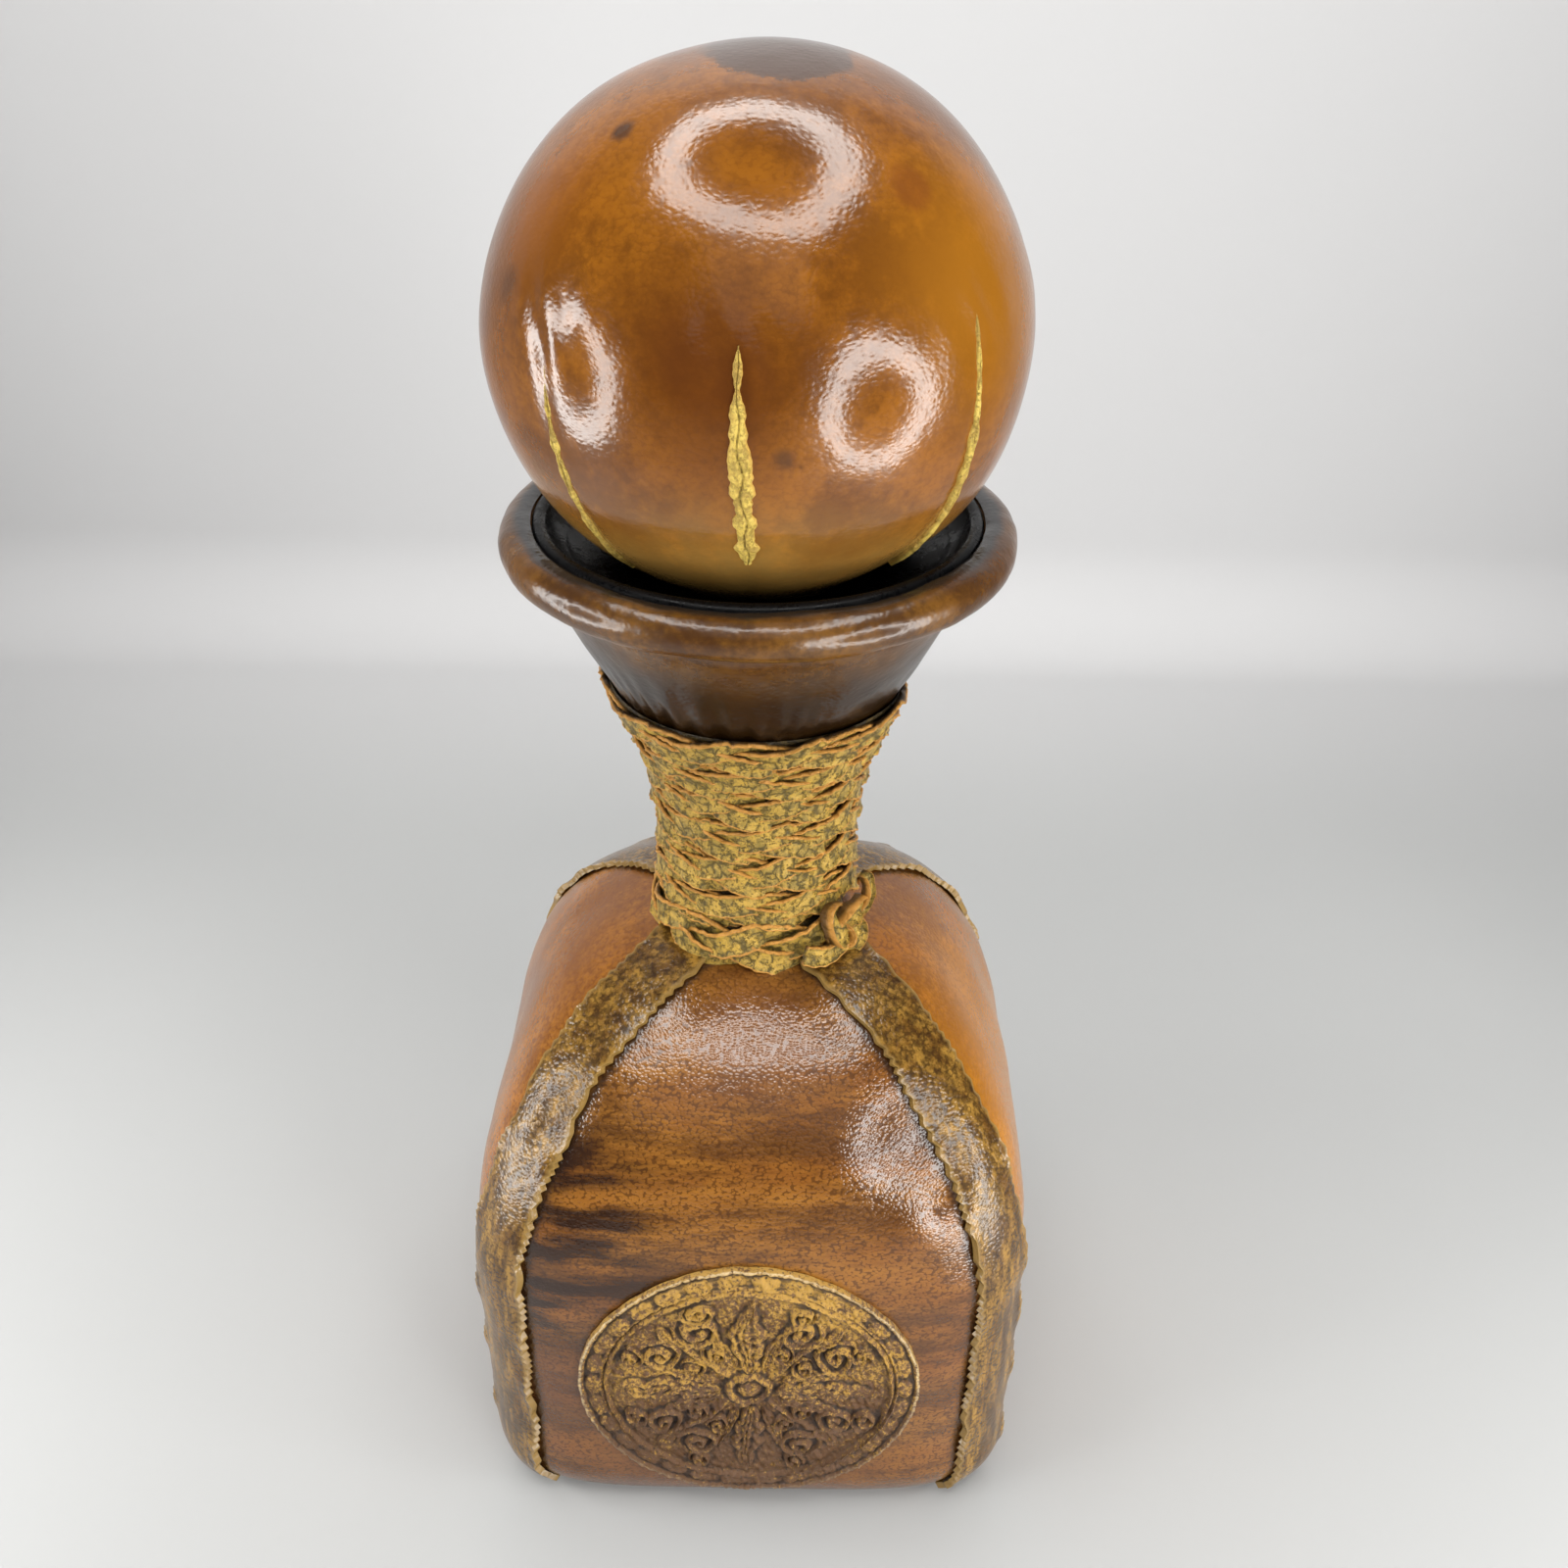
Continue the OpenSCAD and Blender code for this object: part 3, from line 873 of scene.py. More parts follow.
@dataclass
class Finishes:
    """The materials of the decanter, each built once."""

    front: bpy.types.Material = field(init=False)
    side: bpy.types.Material = field(init=False)
    strip: bpy.types.Material = field(init=False)
    mouth: bpy.types.Material = field(init=False)
    base: bpy.types.Material = field(init=False)
    ball: bpy.types.Material = field(init=False)
    dart: bpy.types.Material = field(init=False)
    lace: bpy.types.Material = field(init=False)
    gilt: bpy.types.Material = field(init=False)
    plastic: bpy.types.Material = field(init=False)
    cone: bpy.types.Material = field(init=False)
    wood: bpy.types.Material = field(init=False)
    cork: bpy.types.Material = field(init=False)
    glass: bpy.types.Material = field(init=False)

    def __post_init__(self) -> None:
        """Builds the shared groups, then every material."""
        build_grain_group()
        build_mottle_group()
        build_speck_group()
        # Colour of the painted shadow that the strips seem to cast on the panels.
        grime = (0.022, 0.010, 0.005)
        self.front = LeatherFinish(
            "front leather", (0.165, 0.058, 0.009), (0.050, 0.018, 0.005), (0.245, 0.100, 0.014),
            grain=1900.0, grain_depth=0.036 * MM, pores=0.7, gloss=1.0,
            roughness=0.17, ior=1.55, grime=grime,
            smear=ColourPatch((-0.036, -0.048, 0.074), 32 * MM, (0.016, 0.006, 0.003), 0.95, 0.5, 0.5),
            colour_patches=(ColourPatch((0.0, -0.030, 0.108), 18 * MM, (0.13, 0.046, 0.013), 0.6),
                    ColourPatch((-0.042, -0.048, 0.035), 20 * MM, (0.085, 0.030, 0.010), 0.6),
                    # Darker towards the bottom.
                    ColourPatch((0.0, -0.046, 0.010), 36 * MM, (0.10, 0.035, 0.009), 0.6)),
            streak=(0.35, 1.0, 1.6)).build()
        self.side = LeatherFinish(
            "side leather", (0.25, 0.085, 0.007), (0.125, 0.040, 0.005), (0.34, 0.130, 0.010),
            grain=1500.0, grain_depth=0.035 * MM, pores=0.7, gloss=0.9,
            roughness=0.22, ior=1.45, grime=grime,
            colour_patches=(ColourPatch((-0.036, -0.006, 0.100), 26 * MM, (0.15, 0.050, 0.008), 0.6),
                    # Painted light: the right face lighter and more orange, where the right lamp falls.
                    ColourPatch((0.052, -0.010, 0.060), 60 * MM, (0.38, 0.150, 0.010), 0.7, 0.4),
                    # Darker towards the bottom.
                    ColourPatch((0.0, 0.0, 0.004), 62 * MM, (0.11, 0.038, 0.008), 0.5, 0.7))).build()
        self.strip = LeatherFinish(
            "strip leather", (0.110, 0.050, 0.008), (0.022, 0.010, 0.003), (0.27, 0.145, 0.024),
            patch=360.0, grain=1500.0, grain_depth=0.045 * MM, pores=0.6, gloss=1.0,
            roughness=0.22, ior=1.45, streak=(1.0, 1.0, 0.16),
            # Darker towards the bottom of the strips.
            colour_patches=(ColourPatch((0.0, 0.0, 0.0), 74 * MM, (0.060, 0.028, 0.006), 0.6, 0.6, 0.5),),
            rim=(0.25, 0.155, 0.045)).build()
        self.mouth = LeatherFinish(
            "mouth leather", (0.085, 0.032, 0.005), (0.034, 0.012, 0.003), (0.140, 0.060, 0.008),
            grain_depth=0.02 * MM, pores=0.2, gloss=1.0, roughness=0.24,
            # Darker on the flare below the lip.
            colour_patches=(ColourPatch((0.0, 0.0, 0.155), 44 * MM, (0.008, 0.0035, 0.001), 0.92, 0.70, 0.3),),
            dye=True).build()
        self.base = LeatherFinish(
            "base leather", (0.07, 0.032, 0.014), (0.03, 0.014, 0.008), (0.11, 0.05, 0.02),
            gloss=0.12, roughness=0.6).build()
        # Golden painted light for the ball's lower part; umber for the real stains on its top.
        painted_lower_light, umber = (0.40, 0.25, 0.065), (0.050, 0.020, 0.008)
        self.ball = LeatherFinish(
            "ball leather", (0.150, 0.048, 0.0035), (0.084, 0.026, 0.0025), (0.220, 0.076, 0.005),
            patch=24.0, grain=1500.0, grain_depth=0.012 * MM, pores=0.25, gloss=1.0,
            roughness=0.16, ior=1.5, speck=0.03,
            colour_patches=(
                # The first four patches are painted light and shade: lighter and golden on the lower ball,
                # orange at the upper right and lighter at the upper left where the lamps fall, darker at the
                # front middle.
                ColourPatch((0.0, 0.0, 0.160), 60 * MM, painted_lower_light, 0.9, 0.42),
                ColourPatch((0.030, -0.022, 0.228), 24 * MM, (0.25, 0.095, 0.006), 0.8),
                ColourPatch((-0.030, -0.020, 0.238), 16 * MM, (0.21, 0.066, 0.005), 0.6),
                ColourPatch((-0.006, -0.036, 0.222), 17 * MM, (0.075, 0.020, 0.003), 0.7),
                ColourPatch((0.0025, -0.0032, 0.2543), 11.4 * MM, umber, 1.0, 0.88, 1.2),
                ColourPatch((-0.0168, -0.0187, 0.2459), 2.4 * MM, umber, 0.9, 0.3),
                ColourPatch((-0.0324, -0.0202, 0.2274), 3.4 * MM, umber, 0.6, 0.2),
                ColourPatch((0.0041, -0.0395, 0.2110), 2.2 * MM, umber, 0.7, 0.2),
                ColourPatch((0.0193, -0.0235, 0.2409), 4.0 * MM, (0.14, 0.04, 0.006), 0.6, 0.5))).build()
        self.dart = RawEdgeFinish(
            "dart edge", (0.58, 0.42, 0.085), (0.36, 0.23, 0.045), (0.50, 0.31, 0.06), crackle=0.3).build()
        self.lace = RawEdgeFinish(
            "lace leather", (0.45, 0.285, 0.050), (0.215, 0.150, 0.034), (0.47, 0.225, 0.044),
            roughness=0.36, mottle=520.0).build()
        self.gilt = GiltFinish(
            "gilt leather", (0.018, 0.008, 0.004), (0.105, 0.046, 0.014), (0.42, 0.235, 0.034),
            (0.60, 0.47, 0.28)).build()
        self.plastic = PlasticFinish("black plastic", (0.0015, 0.0015, 0.002), (0.004, 0.004, 0.004)).build()
        self.cone = WoodFinish("cone wood", (0.48, 0.31, 0.16), (0.30, 0.17, 0.07), 0.0).build()
        self.wood = WoodFinish("stopper wood", (0.50, 0.33, 0.17), (0.32, 0.18, 0.08), 0.0).build()
        self.cork = WoodFinish("cork", (0.52, 0.33, 0.17), (0.36, 0.20, 0.09), 0.22).build()
        self.glass = GlassFinish("bottle glass", (0.90, 0.96, 0.93)).build()


# ---------------------------------------------------------------- body


@dataclass(frozen=True)
class BodyShape:
    """The leather-covered body: superellipse rings up a rounded foot, a belly and a shoulder.

    Attributes:
        half: Half width of the belly.
        top: Height at which the shoulder meets the neck.
        foot_half: Half width of the flat base.
        foot_height: Height of the rounded foot.
        shoulder: Height at which the shoulder starts.
        power: Squareness of the belly's rings, where 2 is round.
        slope: Slope of the shoulder, where 1 is an ellipse.
        neck_foot: Radius at which the shoulder ends.
    """

    half: float
    top: float
    foot_half: float = 41.5 * MM
    foot_height: float = 13 * MM
    shoulder: float = 60 * MM
    power: float = 5.4
    slope: float = 1.1
    neck_foot: float = 16 * MM

    @cached_property
    def line(self) -> Array:
        """Gives rows of half width, height, squareness, outward direction and run from the foot.

        The foot is a quarter of an ellipse, the belly is straight, and the shoulder goes
        with the cosine and the sine of a quarter turn, each to the power of its slope.

        Returns:
            The rows, from the foot's edge to the neck.
        """
        turn = np.linspace(0, math.pi / 2, 60)[:, None]
        foot = np.hstack([
            self.foot_half + (self.half - self.foot_half) * np.sin(turn),
            self.foot_height * (1 - np.cos(turn)),
            np.full_like(turn, self.power)])
        rise = np.linspace(0, 1, 24)[1:-1, None]
        belly = np.hstack([
            np.full_like(rise, self.half),
            self.foot_height + (self.shoulder - self.foot_height) * rise,
            np.full_like(rise, self.power)])
        turn = np.linspace(0, math.pi / 2, 160)[:, None]
        cosine = np.clip(np.cos(turn), 0, 1)
        shoulder = np.hstack([
            self.neck_foot + (self.half - self.neck_foot) * cosine ** self.slope,
            self.shoulder + (self.top - self.shoulder) * np.sin(turn) ** self.slope,
            2 + (self.power - 2) * cosine ** 1.5])
        rows = np.vstack([foot, belly, shoulder])
        way = unit(np.gradient(rows[:, :2], axis=0))
        out = np.stack([way[:, 1], -way[:, 0]], -1)
        return np.hstack([rows, out, run_along(rows[:, :2])[:, None]])

    @property
    def length(self) -> float:
        """Gives the run from the foot's edge to the neck."""
        return float(self.line[-1, 5])

    def run_at(self, height: float | Array) -> Array:
        """Gives the run at a height above the foot."""
        return np.interp(height, self.line[:, 1], self.line[:, 5])

    def points(self, direction: Array, run: Array, lift: Array | float = 0.0) -> Array:
        """Gives points of the surface.

        Args:
            direction: Direction seen from above, in radians.
            run: Distance from the foot's edge along the outline.
            lift: Distance out from the surface.

        Returns:
            The points, where each ring is the half width over the power mean of the
            direction's cosine and sine.
        """
        half, height, power, out_r, out_z = (
            np.interp(run, self.line[:, 5], self.line[:, k]) for k in range(5))
        half, height = half + lift * out_r, height + lift * out_z
        mean = (np.abs(np.cos(direction)) ** power + np.abs(np.sin(direction)) ** power) ** (1 / power)
        radius = half / mean
        return np.stack(np.broadcast_arrays(
            radius * np.cos(direction), radius * np.sin(direction), height), -1)


@dataclass(frozen=True)
class Covering:
    """The leather of the body: four panels, and four strips over their seams.

    Attributes:
        shape: The body's surface.
        thickness: Thickness of a panel.
        seam: Half of the gap between panels, in degrees.
        strip_width: Width of a strip.
        strip_thickness: Thickness of a strip.
        lay: Gap under a strip.
        pink_length: Length of one tooth of a pinked edge.
        pink_depth: Depth of a tooth.
        dents: Middle, radius and height in millimetres of each dent and swelling.
    """

    shape: BodyShape
    thickness: float = LEATHER
    seam: float = 0.25
    strip_width: float = 12.4 * MM
    strip_thickness: float = 1.1 * MM
    lay: float = 0.1 * MM
    pink_length: float = 2.5 * MM
    pink_depth: float = 0.42 * MM
    dents: tuple[tuple[float, ...], ...] = (
        (27, -40, 91, 7, -1.1), (16, -44, 86, 7, 0.5), (29, -47, 78, 6, 0.5),
        (-28, -43, 84, 8, -0.5), (0, -29, 105, 9, -0.5), (-8, -40, 92, 8, 0.35),
        (44, 12, 84, 9, -0.6), (-44, 6, 80, 10, -0.5), (10, 42, 88, 9, -0.6))

    def waves(self, points: Array) -> Array:
        """Gives the leather's slow unevenness, which fades out at the foot.

        Args:
            points: Points of the smooth surface.

        Returns:
            The height over the smooth surface at each point.
        """
        broad, small = Ripples(11, 34 * MM).at(points), Ripples(12, 11 * MM).at(points)
        slow = 0.22 * MM * broad + 0.07 * MM * small
        for x, y, z, radius, height in self.dents:
            apart = np.linalg.norm(points - np.array((x, y, z)) * MM, axis=-1)
            slow = slow + height * MM * bump(apart, 0.0, radius * MM)
        return slow * step_between(points[..., 2], 2 * MM, 14 * MM)

    def laid(self, direction: Array, run: Array, lift: Array | float) -> Array:
        """Gives points at a height over the uneven leather."""
        flat = self.shape.points(direction, run)
        return self.shape.points(direction, run, lift + self.waves(flat))

    def panel(self, face: Face) -> Shape:
        """Gives one face's panel, from the base to the neck and from corner to corner.

        Args:
            face: The face that it covers.

        Returns:
            The panel, with the painted shadow beside its strips as a layer.
        """
        spread = math.radians(45 - self.seam)
        off = np.linspace(-spread, spread, 181)[None, :]
        run = np.linspace(0, self.shape.length, 150)[:, None]
        direction, run = np.broadcast_arrays(math.radians(face.value) + off, run)
        outer = self.laid(direction, run, 0.0)
        corner = (math.radians(45) - np.abs(off)) * np.linalg.norm(outer[..., :2], axis=-1)
        # Painted shadow: a dark band on the panel just beside each strip's edge.
        grime = 0.85 * bump(corner, self.strip_width / 2 + 0.1 * MM, 0.75 * MM)
        inner = self.shape.points(direction, run, self.lay - self.thickness)
        return slab(outer, inner, {"grime": grime})

    def strip(self, corner: Corner) -> Shape:
        """Gives one corner's strip, with pinked edges that stand up a little.

        Its edge is the strip's half width plus a rounded zigzag along the run.

        Args:
            corner: The corner that it covers.

        Returns:
            The strip, with its cut edge as a layer.
        """
        seed = corner.value
        start, end = self.shape.run_at(3 * MM), self.shape.length - 1.5 * MM
        run = np.arange(start, end, self.pink_length / 9)[:, None]
        across = np.linspace(-1, 1, 17)[None, :]
        centre = self.shape.points(np.full_like(run, math.radians(corner.value)), run)
        radius = np.linalg.norm(centre[..., :2], axis=-1)
        side = np.sign(across)
        drift = Ripples(seed, 16 * MM).at(np.concatenate([run, 0 * run, 0 * run], -1))[:, None]
        drift = drift * 0.25 * MM
        phase = 2 * math.pi * run / self.pink_length + 1.3 * side + 25 * drift / MM
        tooth = self.pink_depth * np.arcsin(0.94 * np.sin(phase)) / (math.pi / 2)
        half = self.strip_width / 2 + (tooth + drift * side) * np.abs(across) ** 3
        offset = half * across
        direction = math.radians(corner.value) + offset / radius
        curl = 0.45 * MM * np.abs(across) ** 6 * (1 + 0.7 * np.sin(phase / 7 + side))
        crown = self.strip_thickness * (1 - 0.25 * np.abs(across) ** 10)
        run = np.broadcast_to(run, direction.shape)
        outer = self.laid(direction, run, self.lay + curl + crown)
        inner = self.laid(direction, run, self.lay + 0.6 * curl)
        rim = np.broadcast_to(0.8 * step_between(np.abs(across), 0.95, 1.0), direction.shape)
        return slab(outer, inner, {"rim": rim})

    def build(self, finishes: Finishes) -> None:
        """Adds the panels and the strips.

        Args:
            finishes: The materials.
        """
        for face in Face:
            front = face is Face.FRONT
            name = f"{face.name.lower()}_panel"
            material = finishes.front if front else finishes.side
            add_piece(f"{name}_leather", self.panel(face), material, Body.BOTTLE, (name,))
        for corner in Corner:
            name = f"strip_{corner.name.lower()}"
            add_piece(f"{name}_leather", self.strip(corner), finishes.strip, Body.BOTTLE,
                      (name,))


@dataclass(frozen=True)
class Medallion:
    """Embossed leather disc on the front: a rosette of leaves and scrolls in a border of eggs.

    Attributes:
        shape: The body's surface.
        radius: Radius of the disc.
        centre: Height of its middle.
        base: Thickness of the disc under its relief.
        relief: Height of the relief.
        leaves: Number of leaves in the rosette.
        eggs: Number of eggs in the border.
    """

    shape: BodyShape
    radius: float
    centre: float
    base: float = 0.6 * MM
    relief: float = 1.35 * MM
    leaves: int = 4
    eggs: int = 30

    def leaf(self, along: Array, aside: Array, width: float, lobes: float) -> Array:
        """Gives a lobed leaf.

        Args:
            along: Place along the leaf, from 0 at its stalk to 1 at its tip.
            aside: Distance from its middle line.
            width: Its half width.
            lobes: Number of lobes on a side.

        Returns:
            A dome across a width that goes with the sine along the leaf and is pinched
            between lobes, less a vein in the middle and curved veins at the sides.
        """
        reach = np.clip(along, 0, 1)
        pinch = 0.66 + 0.34 * np.abs(np.sin(math.pi * lobes * (reach + 0.6 * aside / width * 0.12)))
        half = width * np.sin(math.pi * reach ** 0.85) ** 0.8 * pinch + 1e-5
        dome = np.clip(1 - (aside / half) ** 2, 0, 1) ** 0.5 * (along > 0) * (along < 1)
        vein = 0.5 * bump(aside, 0.0, 0.007) + 0.16 * np.cos(2 * math.pi * lobes * 2 * (reach - 0.9 * aside))
        ribs = 0.72 + 0.28 * np.cos(3 * math.pi * aside / half)
        return np.clip((dome - vein * dome) * ribs, 0, 1)

    def scroll(self, x: Array, y: Array, at: tuple[float, float], size: float) -> Array:
        """Gives a curled tendril: a ridge that winds in as a spiral, with a low bud at its middle.

        Args:
            x: First coordinate, as a share of the disc's radius.
            y: Second coordinate.
            at: The tendril's middle.
            size: Its radius.

        Returns:
            Its height, from 0 to 1.
        """
        apart = np.hypot(x - at[0], y - at[1])
        twist = np.arctan2(y - at[1], x - at[0])
        coil = (0.5 + 0.5 * np.cos(2 * math.pi * apart / (0.66 * size) - twist)) ** 1.5
        inside = 1 - step_between(apart, 1.05 * size, 1.35 * size)
        return np.clip(0.9 * coil * inside + 0.3 * bump(apart, 0.0, 0.6 * size), 0, 1)

    def field(self, share: Array, angle: Array) -> Array:
        """Works out the relief, from 0 to 1.

        Args:
            share: Distance from the middle, as a share of the radius.
            angle: Direction round the middle.

        Returns:
            The highest of the boss, the leaves with a smaller one at each side, the buds
            between them and their scrolls, with the inner ring, the eggs of the border and
            the rim.
        """
        flat = np.stack([share * np.cos(angle), share * np.sin(angle), 0 * share], -1)
        free = 1 - step_between(share, 0.78, 0.86)
        share = share + 0.010 * Ripples(33, 0.18).at(flat) * free
        angle = angle + 0.035 * Ripples(34, 0.30).at(flat) * free
        sector = 2 * math.pi / self.leaves
        off = (angle + sector / 2) % sector - sector / 2
        between = angle % sector - sector / 2
        nubs = 0.5 + 0.5 * np.cos(7 * angle)
        boss = 0.85 * np.sqrt(np.clip(1 - (share / 0.075) ** 2, 0, 1)) * (0.75 + 0.25 * np.cos(40 * share))
        boss = np.maximum(boss, bump(share, 0.115, 0.018) * (0.6 + 0.4 * nubs))
        x, y = share * np.cos(off), np.abs(share * np.sin(off))
        leaf = 0.95 * self.leaf((x - 0.15) / 0.62, y, 0.105, 4.0)
        turned_x, turned_y = x * 0.93 + y * 0.37, y * 0.93 - x * 0.37
        leaf = np.maximum(leaf, 0.8 * self.leaf((turned_x - 0.2) / 0.42, np.abs(turned_y), 0.055, 3.0))
        x, y = share * np.cos(between), np.abs(share * np.sin(between))
        bud = 0.8 * self.leaf((x - 0.52) / 0.25, y, 0.055, 2.0)
        stalk = 0.6 * bump(y, 0.0, 0.018) * step_between(x, 0.13, 0.2) * (1 - step_between(x, 0.5, 0.56))
        curls = [self.scroll(x, y, at, size) for at, size in (
            ((0.57, 0.150), 0.105), ((0.36, 0.085), 0.060), ((0.68, 0.270), 0.065))]
        rosette = np.maximum.reduce([leaf, bud, stalk, *curls])
        inside = 1 - step_between(share, 0.785, 0.80)
        ring = 0.7 * bump(share, 0.835, 0.009)
        beat = np.abs(np.cos(self.eggs / 2 * angle))
        egg = np.clip(1 - ((share - 0.91) / 0.05) ** 2 - ((1 - beat) / 0.75) ** 2, 0, 1) ** 0.5
        shell = 0.3 * bump(share, 0.865, 0.008)
        rim = 0.4 * step_between(share, 0.965, 0.98)
        egg = egg * (0.28 + 0.16 * Ripples(35, 0.16).at(flat))
        return np.clip(boss + inside * rosette + ring + egg + shell + rim, 0, 1)

    def build(self, finishes: Finishes) -> None:
        """Adds the disc, with the relief, its creases and the pale rim, which the material lights as a
        painted highlight, as values for the material.

        A crease is where the relief is lower than its mean over a millimetre or two around.

        Args:
            finishes: The materials.
        """
        rows, around = 150, 620
        share = np.linspace(0.004, 1, rows)[:, None]
        angle = full_turn(around)[None, :]
        share, angle = np.broadcast_arrays(share, angle)
        height = self.field(share, angle)
        flat = np.stack([share * np.cos(angle), share * np.sin(angle), 0 * share], -1)
        worn = 0.12 * Ripples(31, 0.09).at(flat) + 0.15 * Ripples(32, 0.035, 24).at(flat)
        row, shifts = np.arange(rows), np.arange(-6, 7, 3)
        near = [np.roll(height[np.clip(row + a, 0, rows - 1)], b, 1) for a in shifts for b in shifts]
        crease = np.clip((np.mean(near, 0) - height) / 0.35, 0, 1)
        scallop = 1 - 0.005 * (1 - np.abs(np.cos(self.eggs / 2 * angle))) * step_between(share, 0.9, 1.0)
        top = self.lie(share * scallop, angle, self.base + self.relief * (height + worn * 0.7))
        edge = self.lie((share * scallop)[-1:], angle[-1:], 0.1 * MM)
        back = self.lie(share[:1], angle[:1], 0.1 * MM)
        grid = np.concatenate([top, edge, back])
        levels = np.concatenate([height, 0 * height[:2]])
        crease = np.concatenate([crease, 0 * height[:2]])
        # The pale cut rim, which the material paints as a highlight.
        rim_highlight = bump(share, 0.991, 0.006)
        rim_highlight = np.concatenate([rim_highlight, 0 * rim_highlight[:2]])
        ends = np.stack([np.arange(around), (len(grid) - 1) * around + np.arange(around)[::-1]])
        shape = Shape(
            grid.reshape(-1, 3), [grid_quads(len(grid), around, False, True), ends],
            {"relief": levels.ravel(), "crease": crease.ravel(), "edge": rim_highlight.ravel()}).outward()
        add_piece("medallion_leather", shape, finishes.gilt, Body.BOTTLE,
                  ("medallion",))

    def lie(self, share: Array, angle: Array, lift: Array | float) -> Array:
        """Lays points of the disc on the front panel.

        Args:
            share: Distance from the middle, as a share of the radius.
            angle: Direction round the middle.
            lift: Distance straight out from the panel.

        Returns:
            The points.
        """
        x = self.radius * share * np.cos(angle)
        z = self.centre + self.radius * share * np.sin(angle)
        half = np.interp(z, self.shape.line[:, 1], self.shape.line[:, 0])
        power = self.shape.power
        y = -(half ** power - np.abs(x) ** power) ** (1 / power) - lift
        return np.stack(np.broadcast_arrays(x, y, z), -1)


# ---------------------------------------------------------------- neck and mouth


